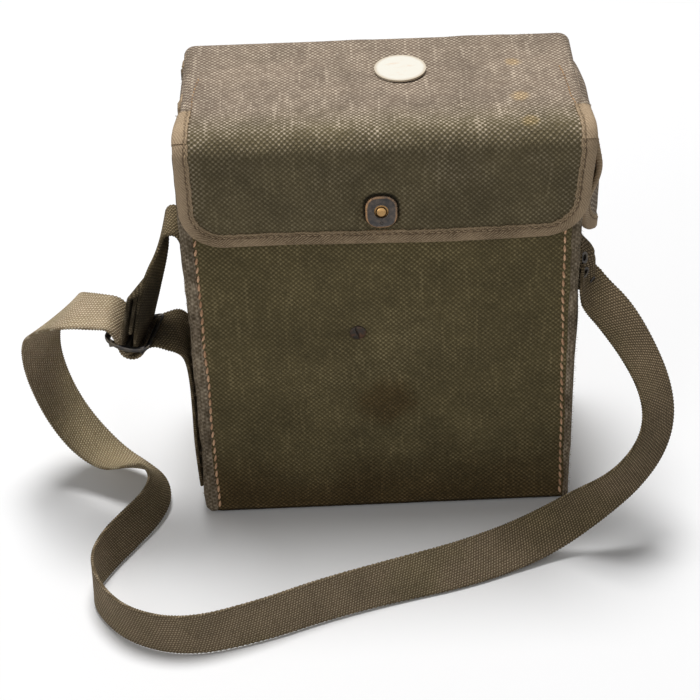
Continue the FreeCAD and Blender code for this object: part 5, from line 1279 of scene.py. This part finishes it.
class Finish:
    """One material: its Principled surface and the nodes that feed it."""

    def __init__(self, name, **settings):
        self.material = bpy.data.materials.new(name)
        self.material.use_nodes = True
        self.tree = self.material.node_tree
        self.surface = self.tree.nodes["Principled BSDF"]
        for socket, value in settings.items():
            self.set(socket.replace("_", " "), value)

    def feed(self, socket, value):
        if isinstance(value, Amount):
            self.tree.links.new(value.socket, socket)
        else:
            socket.default_value = value

    def set(self, socket, value):
        self.feed(self.surface.inputs[socket], value)

    def add(self, kind, settings=None, inputs=None, output=0):
        """Adds a node. Settings are given first, then the values or links of its sockets."""
        node = self.tree.nodes.new("ShaderNode" + kind)
        for setting, value in (settings or {}).items():
            setattr(node, setting, value)
        for socket, value in (inputs or {}).items():
            self.feed(node.inputs[socket], value)
        return Amount(self, node.outputs[output])

    def place(self):
        return self.add("TexCoord", output="Object")

    def flat(self):
        return self.add("UVMap", {"uv_map": "flat"})

    def parts(self, vector):
        split = self.add("SeparateXYZ", None, {0: vector})
        node = split.socket.node
        return [Amount(self, node.outputs[i]) for i in range(3)]

    def scaled(self, vector, scale):
        return self.add("Mapping", None, {"Vector": vector, "Scale": scale})

    def distance(self, place, centre):
        return self.add("VectorMath", {"operation": "DISTANCE"}, {0: place, 1: centre}, "Value")

    def cloud(self, vector, size, detail=3.0, rough=0.55):
        """Soft noise from 0 to 1 with blots about `size` metres."""
        return self.add("TexNoise", None, {"Vector": vector, "Scale": 1 / size, "Detail": detail, "Roughness": rough})

    def streaks(self, flat, across, along, detail, rough):
        """Noise on the flat cloth, drawn out along one set of threads."""
        drawn = self.scaled(flat, (1 / across, 1 / along, 1))
        return self.add("TexNoise", {"noise_dimensions": "2D"},
                        {"Vector": drawn, "Scale": 1.0, "Detail": detail, "Roughness": rough})

    def blend(self, factor, first, second, mode="MIX"):
        return self.add("Mix", {"data_type": "RGBA", "blend_type": mode}, {0: factor, 6: first, 7: second}, 2)

    def stained(self, share, tint, stain):
        """A tint multiplied by the colour of a stain, as far as `share` goes."""
        return self.blend(share, tint, self.blend(1.0, tint, stain, "MULTIPLY"))

    def dimmed(self, tint, share):
        return self.add("VectorMath", {"operation": "SCALE"}, {0: tint, "Scale": share})

    def bump(self, height, depth, strength=1.0, below=None):
        inputs = {"Height": height, "Distance": depth, "Strength": strength}
        if below is not None:
            inputs["Normal"] = below
        return self.add("Bump", None, inputs)

    def finished(self, tint, rough, normal):
        """Sets the tint, roughness and relief that show, and gives the material."""
        self.set("Base Color", tint)
        self.set("Roughness", rough)
        self.set("Normal", normal)
        return self.material


def colour(r, g, b):
    """A colour as seen on a screen, 0 to 255, as Blender's linear colour."""
    def linear(value):
        value /= 255
        return value / 12.92 if value <= 0.04045 else ((value + 0.055) / 1.055) ** 2.4
    return (linear(r), linear(g), linear(b), 1.0)


# ---- cloth finishes ----------------------------------------------------------------------

DUCK_THREAD = 1.36 * MM
RIB = 1.45 * MM


def spot(finish, place, centre, size):
    """1 at a point of the object, falling to 0 at `size` from it, with a ragged edge."""
    away = finish.distance(place, centre)
    ragged = (finish.cloud(place, size * 0.5, 4.0, 0.7) - 0.5) * (size * 0.9)
    return 1 - (away + ragged).rise(size * 0.35, size)


def plain_weave(finish, place, flat, thread):
    """Over and under of a plain weave: 1 on a warp thread's crown, -1 on a weft thread's."""
    wander = (finish.cloud(place, 9 * MM, 2.0) - 0.5) * (thread * 0.8)
    u, v = finish.parts(flat)[:2]
    across = ((u + wander) * (math.pi / thread)).sine()
    along = ((v + wander) * (math.pi / thread)).sine()
    return across * along


def canvas_finish(name, ground, crown, levels, clear=1.0):
    """Olive duck with rubbed crowns. `ground` and `crown` are each a dark and a pale colour; `levels` gives
    how pale the ground is, how pale the crowns are, a stain with its colour and a shade. `clear` is how
    plainly the weave still shows."""
    finish = Finish(name, Specular_IOR_Level=0.2)
    place = finish.place()
    flat = finish.flat()
    over = plain_weave(finish, place, flat, DUCK_THREAD)
    blots = finish.cloud(place, 26 * MM, 5.0, 0.62)
    grain = finish.cloud(place, 2.1 * MM, 2.0, 0.7)
    ground_level, crown_level, stain, stain_colour, shade = levels(finish, place, flat)
    patchy = finish.cloud(place, 6 * MM, 3.0, 0.6).rise(0.28, 0.66) * 0.55 + 0.45
    rubbed = over.rise(-0.35, 0.8) * grain.rise(0.2, 0.6) * patchy * clear
    pale_threads = finish.streaks(flat, 2 * DUCK_THREAD, 26 * MM, 1.0, 0.5).rise(0.62, 0.78)
    rubbed = (rubbed + over.rise(-0.6, 0.4) * pale_threads * 0.45).under(1.0)
    if clear < 1:
        fluffy = finish.streaks(flat, 0.9 * MM, 9 * MM, 3.0, 0.6).rise(0.35, 0.7)
        rubbed = (rubbed + fluffy * (1 - clear) * 0.8).under(1.0)
    tint = finish.blend(rubbed, finish.blend(ground_level, *ground), finish.blend(crown_level, *crown))
    # Painted shade: the hollows between the weave's crowns are darkened.
    painted_hollow_shade = (over * -1).rise(0.1, 0.95) * (0.5 * clear)
    tint = finish.stained(painted_hollow_shade, tint, (0.52, 0.50, 0.46, 1.0))
    tint = finish.stained(stain, tint, stain_colour)
    depth = (blots.rise(0.28, 0.74) * 0.34 + 0.80) * (1 - shade)
    weave_bump = finish.bump(over.rise(-1.0, 1.0) + over.size() * 0.35, 0.55 * MM * clear, 0.9)
    return finish.finished(finish.dimmed(tint, depth), 0.98 - rubbed * 0.1,
                           finish.bump(grain, 0.3 * MM, 0.35, weave_bump))


# Pale dabs on the cover's top: where, and how wide.
COVER_DABS = (((66, 17, 236), 5), ((67, -16, 236), 6), ((70, -39, 236), 6))


def cover_levels(finish, place, flat):
    """Paler on top as far as the crease, partly dust and partly painted sheen where the top catches the lamp; the
    crowns stay pale down through the crease, and a painted shadow rings the snap plate.
    """
    u, v = finish.parts(flat)[:2]
    ragged = (finish.cloud(place, 18 * MM, 4.0) - 0.5) * (11 * MM)
    # Paler ground and crowns on top: dust together with painted sheen.
    ground_level = 1 - (v + ragged).rise(TOP_RUN - 24 * MM, TOP_RUN + 3 * MM)
    crown_level = 1 - (v + ragged * 2.2).rise(TOP_RUN - 10 * MM, TOP_RUN + 20 * MM)
    worn = finish.cloud(place, 40 * MM, 4.0, 0.6).rise(0.48, 0.75) * 0.3
    crown_level = (crown_level + worn + u.size().rise(80 * MM, 94 * MM) * 0.3).under(1.0)
    first, second, third = [spot(finish, place, tuple(Vector(centre) * MM), size * MM) for centre, size in COVER_DABS]
    x, y, z = finish.parts(place)
    wide = (x - SNAP_X).size() / (SNAP_HALF_WIDTH + 1.3 * MM)
    tall = (z - (SNAP_Z + 0.5 * MM)).size() / (SNAP_HALF_HEIGHT + 1.3 * MM)
    shadow = (1 - ((wide ** 2.8) + (tall ** 2.8)).rise(0.75, 1.25)) * (y * -1).rise(40 * MM, 44 * MM) * 0.85
    pale = first.over(second).over(third)
    return ground_level * (1 - worn * 0.5), crown_level, pale, (1.35, 1.24, 0.98, 1.0), shadow


def wall_levels(finish, place, flat):
    """Browner and darker at the foot, paler along the upright edges, with a rust stain low down, and painted shade
    along the bottom edge.
    """
    x, z = finish.parts(place)[::2]
    edge = x.size().rise(HALF_W - 10 * MM, HALF_W - 2 * MM)
    patch = finish.cloud(place, 48 * MM, 4.0, 0.6).rise(0.5, 0.78)
    bare = spot(finish, place, (4 * MM, -46 * MM, 112 * MM), 34 * MM)
    turned = 1 - z.rise(3 * MM, 7 * MM)
    crown_level = (edge * 0.25 + patch * 0.3 + bare * 0.35 + turned * 0.7 + 0.1).under(1.0)
    rust = spot(finish, place, (-1 * MM, -47 * MM, 74 * MM), 20 * MM) * 0.8
    foot = (1 - (z + (finish.cloud(place, 30 * MM, 4.0) - 0.5) * (40 * MM)).rise(4 * MM, 52 * MM)) * 0.95
    # Painted shade: the bottom edge is darkened where the wall meets the base.
    under = (1 - z.rise(1.2 * MM, 3.4 * MM)) * 0.7
    return edge * 0.12 + bare * 0.12, crown_level, rust.over(foot), (0.72, 0.60, 0.50, 1.0), under


def seam_levels(finish, place, flat):
    """The turned-out edges are worn through to grey-brown fluff."""
    worn = finish.cloud(place, 9 * MM, 5.0, 0.7).rise(0.3, 0.66)
    patch = finish.cloud(place, 30 * MM, 3.0).rise(0.42, 0.68)
    return worn * 0.45, worn * 0.6 + 0.25, patch * 0.55, (0.74, 0.70, 0.68, 1.0), (1 - worn) * 0.25


# The cover's pale ground and crown colours carry dust and painted sheen together.
COVER_GROUND = (colour(100, 90, 66), colour(132, 116, 101))
COVER_CROWN = (colour(142, 130, 101), colour(218, 201, 179))
WALL_GROUND = (colour(98, 88, 60), colour(122, 110, 78))
WALL_CROWN = (colour(140, 126, 90), colour(184, 168, 128))
SEAM_GROUND = (colour(92, 80, 62), colour(138, 122, 100))
SEAM_CROWN = (colour(166, 149, 124), colour(216, 200, 176))
cover_canvas = canvas_finish("cover_canvas", COVER_GROUND, COVER_CROWN, cover_levels)
wall_canvas = canvas_finish("wall_canvas", WALL_GROUND, WALL_CROWN, wall_levels)
seam_canvas = canvas_finish("seam_canvas", SEAM_GROUND, SEAM_CROWN, seam_levels, 0.5)


def webbing_finish():
    """Ribbed cotton webbing: small raised dots in slanting rows, darker selvedges; painted light makes it paler on
    its high loop, near the slide and along its front run, and painted shade darkens one spot beside the slide.
    """
    finish = Finish("webbing_cloth", Specular_IOR_Level=0.2)
    place = finish.place()
    u, v = finish.parts(finish.flat())[:2]
    wander = (finish.cloud(place, 12 * MM, 2.0) - 0.5) * (0.9 * MM)
    rows = ((v + u * 0.42 + wander) * (2 * math.pi / RIB)).sine()
    picks = ((u + v * 0.12 + wander) * (2 * math.pi / (RIB * 0.95))).sine()
    over = rows.under(picks)
    grain = finish.cloud(place, 1.6 * MM, 2.0, 0.7)
    blots = finish.cloud(place, 24 * MM, 5.0, 0.6)
    x, y, z = finish.parts(place)
    # Painted light: the strap is made paler on its high loop, on its inner stretch by the slide and along its front
    # run.
    loop = z.rise(78 * MM, 112 * MM) * x.rise(-128 * MM, -142 * MM)
    inner = x.rise(-122 * MM, -138 * MM) * y.rise(-66 * MM, -44 * MM) * 0.72
    front = y.rise(-84 * MM, -104 * MM) * 0.26
    painted_light = loop.over(inner).over(front)
    dots = over.rise(-0.9, 0.5) * grain.rise(0.12, 0.55)
    tint = finish.blend(dots, finish.blend(painted_light, colour(87, 74, 55), colour(160, 139, 111)),
                        finish.blend(painted_light, colour(172, 151, 121), colour(238, 220, 192)))
    green = finish.cloud(place, 60 * MM, 3.0).rise(0.42, 0.66)
    tint = finish.stained(green * 0.7, tint, (0.86, 0.90, 0.78, 1.0))
    tint = finish.blend(u.size().rise(10.6 * MM, 12.4 * MM) * 0.3, tint, colour(84, 74, 52))
    # Painted shade: the strap is darkened beside the slide, where its face is turned from the light.
    painted_shade = spot(finish, place, (-113 * MM, -46 * MM, 137 * MM), 30 * MM) * 0.68
    depth = (blots.rise(0.28, 0.74) * 0.28 + 0.84) * (1 - painted_shade)
    return finish.finished(finish.dimmed(tint, depth), 0.97 - dots * 0.1,
                           finish.bump(grain, 0.25 * MM, 0.3, finish.bump(over.rise(-0.9, 0.8), 0.5 * MM, 0.9)))


def tape_finish():
    """Khaki twill tape: fine slanting lines, painted shade in a darker furrow at the stitches, a paler frayed inner
    edge.
    """
    finish = Finish("tape_cloth", Specular_IOR_Level=0.25)
    place = finish.place()
    u, v = finish.parts(finish.flat())[:2]
    twill = ((u + v * 0.8) * (2 * math.pi / (1.4 * MM))).sine() * 0.5 + 0.5
    grain = finish.cloud(place, 1.2 * MM, 2.0, 0.7)
    blots = finish.cloud(place, 14 * MM, 4.0, 0.6)
    x = finish.parts(place)[0]
    side = (x.size() + (blots - 0.5) * (10 * MM)).rise(86 * MM, 96 * MM)
    # Painted shade: a dark line along the stitch furrow.
    painted_furrow_shade = (1 - ((u - 2.5 * MM).size() + (grain - 0.5) * (0.5 * MM)).rise(0.2 * MM, 0.75 * MM)) * 0.6
    inner = (1 - (u + (grain - 0.5) * (0.8 * MM)).rise(0.5 * MM, 1.3 * MM)) * 0.5
    outer = (u - 8.6 * MM).rise(0.0, 1.5 * MM) * 0.25
    tint = finish.blend(blots.rise(0.3, 0.7), colour(104, 86, 63), colour(148, 126, 99))
    layers = ((side * 0.55, (186, 162, 134)), (twill * grain.rise(0.2, 0.6) * 0.7, (196, 173, 143)),
              (painted_furrow_shade, (76, 60, 42)), (inner, (176, 154, 122)), (outer, (168, 146, 120)))
    for share, shade in layers:
        tint = finish.blend(share, tint, colour(*shade))
    return finish.finished(tint, 0.94 - twill * 0.08,
                           finish.bump(grain, 0.2 * MM, 0.3, finish.bump(twill, 0.22 * MM, 0.7)))


def thread_finish(name, ground, worn):
    finish = Finish(name, Specular_IOR_Level=0.3)
    place = finish.place()
    x, y, z = finish.parts(place)
    twist = ((x + y + z) * (2 * math.pi / (0.9 * MM))).sine()
    fade = finish.cloud(place, 8 * MM, 4.0, 0.65)
    return finish.finished(finish.blend(fade.rise(0.38, 0.66), ground, worn), 0.9, finish.bump(twist, 0.15 * MM, 0.6))


webbing_cloth = webbing_finish()
tape_cloth = tape_finish()
orange_thread = thread_finish("orange_thread", colour(250, 204, 164), colour(206, 160, 124))
tan_thread = thread_finish("tan_thread", colour(196, 158, 118), colour(134, 106, 78))
tape_thread_cloth = thread_finish("tape_thread_cloth", colour(190, 166, 134), colour(146, 124, 96))
fluff = thread_finish("fluff", colour(176, 156, 130), colour(120, 104, 82))


# ---- hard finishes -----------------------------------------------------------------------

def worn_metal(name, plain, worn, rough, grain_size=14 * MM, coat=0.0):
    """Metal whose colour and sheen vary with handling, finely scratched."""
    finish = Finish(name, Metallic=1.0, Coat_Weight=coat)
    place = finish.place()
    handled = finish.cloud(place, grain_size, 5.0, 0.65)
    scratches = finish.cloud(finish.scaled(place, (1, 9, 1)), 5 * MM, 4.0, 0.7)
    return finish.finished(finish.blend(handled.rise(0.42, 0.68), plain, worn), scratches * 0.3 + (rough - 0.15),
                           finish.bump(scratches, 0.06 * MM, 0.25))


def snap_finish():
    """Blackened brass, rubbed through to brown brass on its raised rim, with the rim painted brighter towards its
    lower left as painted light.
    """
    finish = Finish("snap_blackened_brass", Metallic=0.85)
    place = finish.place()
    away = finish.add("VectorMath", {"operation": "SUBTRACT"}, {0: place, 1: tuple(SNAP_PLACE)})
    x, z = finish.parts(away)[::2]
    wide = x.size() / SNAP_HALF_WIDTH
    tall = z.size() / SNAP_HALF_HEIGHT
    reach = ((wide ** 3.0) + (tall ** 3.0)) ** (1 / 3.0)
    handled = finish.cloud(place, 3 * MM, 5.0, 0.7)
    # Painted light: the rubbed rim is made brighter towards the lower left.
    lit = (x * -0.7 + z * -0.7).rise(-8 * MM, 6 * MM) * 0.6 + 0.4
    rim = reach.rise(0.86, 0.93) * (1 - reach.rise(1.0, 1.04)) * handled.rise(0.25, 0.6) * lit
    middle = finish.blend(handled.rise(0.35, 0.7), colour(76, 74, 74), colour(112, 102, 94))
    return finish.finished(finish.blend(rim, middle, colour(196, 152, 108)), 0.62 - rim * 0.2,
                           finish.bump(handled, 0.1 * MM, 0.4))


def bakelite_finish():
    """Moulded plastic: even and dark, faintly mottled, dulled where hands rub it."""
    finish = Finish("black_bakelite", Specular_IOR_Level=0.5)
    place = finish.place()
    mottle = finish.cloud(place, 6 * MM, 5.0, 0.6)
    rubbed = finish.cloud(place, 35 * MM, 3.0)
    return finish.finished(finish.blend(mottle.rise(0.35, 0.75), colour(26, 25, 25), colour(44, 41, 39)),
                           rubbed * 0.3 + 0.2, finish.bump(mottle, 0.05 * MM, 0.2))


def enamel_finish():
    """Olive baked enamel with a fine orange-peel skin and chips along handled places."""
    finish = Finish("olive_enamel", Coat_Weight=0.15)
    place = finish.place()
    peel = finish.cloud(place, 1.4 * MM, 2.0)
    chips = finish.cloud(place, 9 * MM, 6.0, 0.75).rise(0.70, 0.74)
    haze = finish.cloud(place, 40 * MM, 4.0)
    tint = finish.blend(haze, colour(82, 84, 66), colour(104, 104, 82))
    return finish.finished(finish.blend(chips, tint, colour(128, 122, 112)), haze * 0.25 + 0.35,
                           finish.bump(peel, 0.05 * MM, 0.35))


def winding_finish():
    """Enamelled copper wire wound in close turns, with painted shade in the gaps between turns."""
    finish = Finish("copper_winding", Metallic=0.8)
    place = finish.place()
    x, z = finish.parts(place)[::2]
    turns = ((x + z * 0.04) * (2 * math.pi / (0.5 * MM))).sine() * 0.5 + 0.5
    age = finish.cloud(place, 8 * MM, 4.0)
    tint = finish.blend(age.rise(0.3, 0.7), colour(150, 82, 48), colour(112, 56, 34))
    # Painted shade: the gaps between the turns are darkened.
    between = finish.blend(0.5, tint, (0.0, 0.0, 0.0, 1.0))
    return finish.finished(finish.blend(turns * 0.5, between, tint), age * 0.2 + 0.3,
                           finish.bump(turns, 0.2 * MM, 0.8))


def cell_finish():
    """A dry cell's waxed paper jacket, plain, with fibres and scuffs."""
    finish = Finish("cell_jacket", Specular_IOR_Level=0.4)
    place = finish.place()
    fibres = finish.cloud(place, 2 * MM, 5.0, 0.7)
    scuffs = finish.cloud(place, 16 * MM, 6.0, 0.7).rise(0.55, 0.72)
    tint = finish.blend(fibres, colour(112, 60, 44), colour(138, 80, 58))
    return finish.finished(finish.blend(scuffs * 0.6, tint, colour(176, 150, 118)), fibres * 0.2 + 0.5,
                           finish.bump(fibres, 0.08 * MM, 0.4))


def rubber_finish():
    finish = Finish("black_rubber", Specular_IOR_Level=0.3)
    place = finish.place()
    bloom = finish.cloud(place, 12 * MM, 5.0, 0.65)
    pores = finish.cloud(place, 0.8 * MM, 2.0)
    return finish.finished(finish.blend(bloom, colour(30, 30, 31), colour(64, 62, 60)), bloom * 0.2 + 0.6,
                           finish.bump(pores, 0.06 * MM, 0.3))


def disc_finish():
    """White paint on a thin disc, rubbed and faintly tinged, with a darker tan ring at its rim as painted edge shade.
    """
    finish = Finish("disc_paint", Specular_IOR_Level=0.35)
    place = finish.place()
    away = finish.distance(place, (10.7 * MM, 13.0 * MM, 237.0 * MM))
    smears = finish.cloud(finish.scaled(place, (1, 2.2, 1)), 7 * MM, 5.0, 0.7)
    tinge = smears.rise(0.5, 0.74) * (1 - away.rise(5 * MM, 11 * MM)) * 0.5
    tint = finish.blend(tinge, colour(228, 224, 212), colour(222, 190, 160))
    # Painted shade: a darker ring along the disc's edge.
    rim = (away + (smears - 0.5) * (1.6 * MM)).rise(10.6 * MM, 12.6 * MM) * 0.6
    return finish.finished(finish.blend(rim, tint, colour(186, 164, 132)), smears * 0.3 + 0.45,
                           finish.bump(smears, 0.08 * MM, 0.3))


# One finish for each hard material slot of the solids.
HARD_FINISHES = {
    "gunmetal": worn_metal("blackened_metal", colour(66, 64, 64), colour(104, 96, 84), 0.42, 6 * MM),
    "brass": worn_metal("stud_brass", colour(196, 156, 104), colour(164, 128, 84), 0.34, 7 * MM),
    "steel": worn_metal("nickelled_steel", colour(168, 166, 160), colour(132, 126, 116), 0.35),
    "magnet": worn_metal("magnet_steel", colour(96, 92, 88), colour(74, 64, 56), 0.5, 20 * MM),
    "gong": worn_metal("gong_metal", colour(196, 190, 172), colour(160, 146, 116), 0.26, 24 * MM, 0.1),
    "bakelite": bakelite_finish(),
    "panel_paint": enamel_finish(),
    "copper_winding": winding_finish(),
    "cell": cell_finish(),
    "rubber": rubber_finish(),
    "disc": disc_finish(),
}
screw_steel = worn_metal("brown_steel", colour(70, 66, 62), colour(104, 78, 62), 0.6, 4 * MM)
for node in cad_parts.values():
    for slot in node.material_slots:
        if slot.material and slot.material.name in HARD_FINISHES:
            slot.material = HARD_FINISHES[slot.material.name]


# ---- dressing ----------------------------------------------------------------------------

def dress(pieces, material):
    for piece in pieces:
        piece.data.materials.clear()
        piece.data.materials.append(material)


dress([cover, hinge, left_flap, right_flap], cover_canvas)
dress([walls, base], wall_canvas)
dress(seams, seam_canvas)
dress([binding, lap_left, lap_right, window_tape] + flap_tapes, tape_cloth)
dress([sling, hanger, tab], webbing_cloth)
dress(seam_threads + [hinge_thread], orange_thread)
dress(cover_threads, tan_thread)
dress([tape_thread] + flap_threads, tape_thread_cloth)
dress(seam_frays + cover_frays, fluff)
dress([plate], snap_finish())
dress([head], HARD_FINISHES["brass"])
dress([screw], screw_steel)
dress(eyelets + [buckle], HARD_FINISHES["gunmetal"])


# ---- camera, floor and light -------------------------------------------------------------

CAMERA_PLACE = Vector((-0.015, -0.835, 0.744))
CAMERA_YAW = math.radians(-0.28)
CAMERA_PITCH = math.radians(38.87)
CAMERA_ROLL = math.radians(-2.23)
CAMERA_LENS = 102.86
FADE_START = 0.5
FADE_END = 1.4
SKY_LIGHT = 0.19
# Each lamp: its name, where it hangs, where it looks, how wide it is in metres and its watts.
LAMPS = (("overhead_light", (-0.06, 0.44, 2.4), (0, 0.05, 0), 1.0, 50),
         ("fill_light", (-0.9, -1.0, 0.9), (0, 0, 0.1), 0.9, 2.9))


def add_camera():
    """Turned by its yaw from +Y, tipped down by its pitch and rolled about its view."""
    level = Vector((math.cos(CAMERA_YAW), -math.sin(CAMERA_YAW), 0))
    ahead = Vector((math.sin(CAMERA_YAW) * math.cos(CAMERA_PITCH), math.cos(CAMERA_YAW) * math.cos(CAMERA_PITCH),
                    -math.sin(CAMERA_PITCH)))
    upright = level.cross(ahead)
    right = level * math.cos(CAMERA_ROLL) + upright * math.sin(CAMERA_ROLL)
    top = upright * math.cos(CAMERA_ROLL) - level * math.sin(CAMERA_ROLL)
    data = bpy.data.cameras.new("camera")
    data.lens = CAMERA_LENS
    camera = link("camera", data)
    camera.matrix_world = Matrix.Translation(CAMERA_PLACE) @ Matrix((right, top, -ahead)).transposed().to_4x4()
    bpy.context.scene.camera = camera


def add_floor():
    """A pale floor that fades to white with distance, where the camera sees it."""
    floor = primitive(bpy.ops.mesh.primitive_plane_add, "floor", size=8, location=(0, 0, -0.2 * MM))
    finish = Finish("pale_floor", Roughness=0.9, Specular_IOR_Level=0.0, Emission_Strength=1.0)
    seen = finish.add("LightPath", output="Is Camera Ray")
    x, y = finish.parts(finish.place())[:2]
    distant = (x * x + y * y).rise(FADE_START ** 2, FADE_END ** 2) * seen
    pale = finish.blend(seen, (0.7, 0.7, 0.7, 1), (0.98, 0.98, 0.985, 1))
    finish.set("Base Color", finish.blend(distant, pale, (0, 0, 0, 1)))
    finish.set("Emission Color", finish.blend(distant, (0, 0, 0, 1), (1, 1, 1, 1)))
    floor.data.materials.append(finish.material)


def add_lamp(name, place, target, size, power):
    data = bpy.data.lights.new(name, "AREA")
    data.shape = "DISK"
    data.size = size
    data.energy = power
    lamp = link(name, data)
    lamp.location = place
    lamp.rotation_euler = (Vector(target) - Vector(place)).to_track_quat("-Z", "Y").to_euler()


def add_sky(strength):
    """A white world as the camera and mirroring metal see it, and only `strength` as light."""
    world = bpy.data.worlds.new("studio")
    bpy.context.scene.world = world
    world.use_nodes = True
    tree = world.node_tree
    background = tree.nodes["Background"]
    background.inputs["Color"].default_value = (1, 1, 1, 1)
    path = tree.nodes.new("ShaderNodeLightPath")
    seen = tree.nodes.new("ShaderNodeMath")
    seen.operation = "MAXIMUM"
    tree.links.new(path.outputs["Is Camera Ray"], seen.inputs[0])
    tree.links.new(path.outputs["Is Glossy Ray"], seen.inputs[1])
    level = tree.nodes.new("ShaderNodeMapRange")
    level.inputs["To Min"].default_value = strength
    level.inputs["To Max"].default_value = 1.0
    tree.links.new(seen.outputs[0], level.inputs["Value"])
    tree.links.new(level.outputs[0], background.inputs["Strength"])


add_camera()
add_floor()
add_sky(SKY_LIGHT)
for lamp in LAMPS:
    add_lamp(*lamp)
bpy.context.scene.view_settings.view_transform = "Standard"
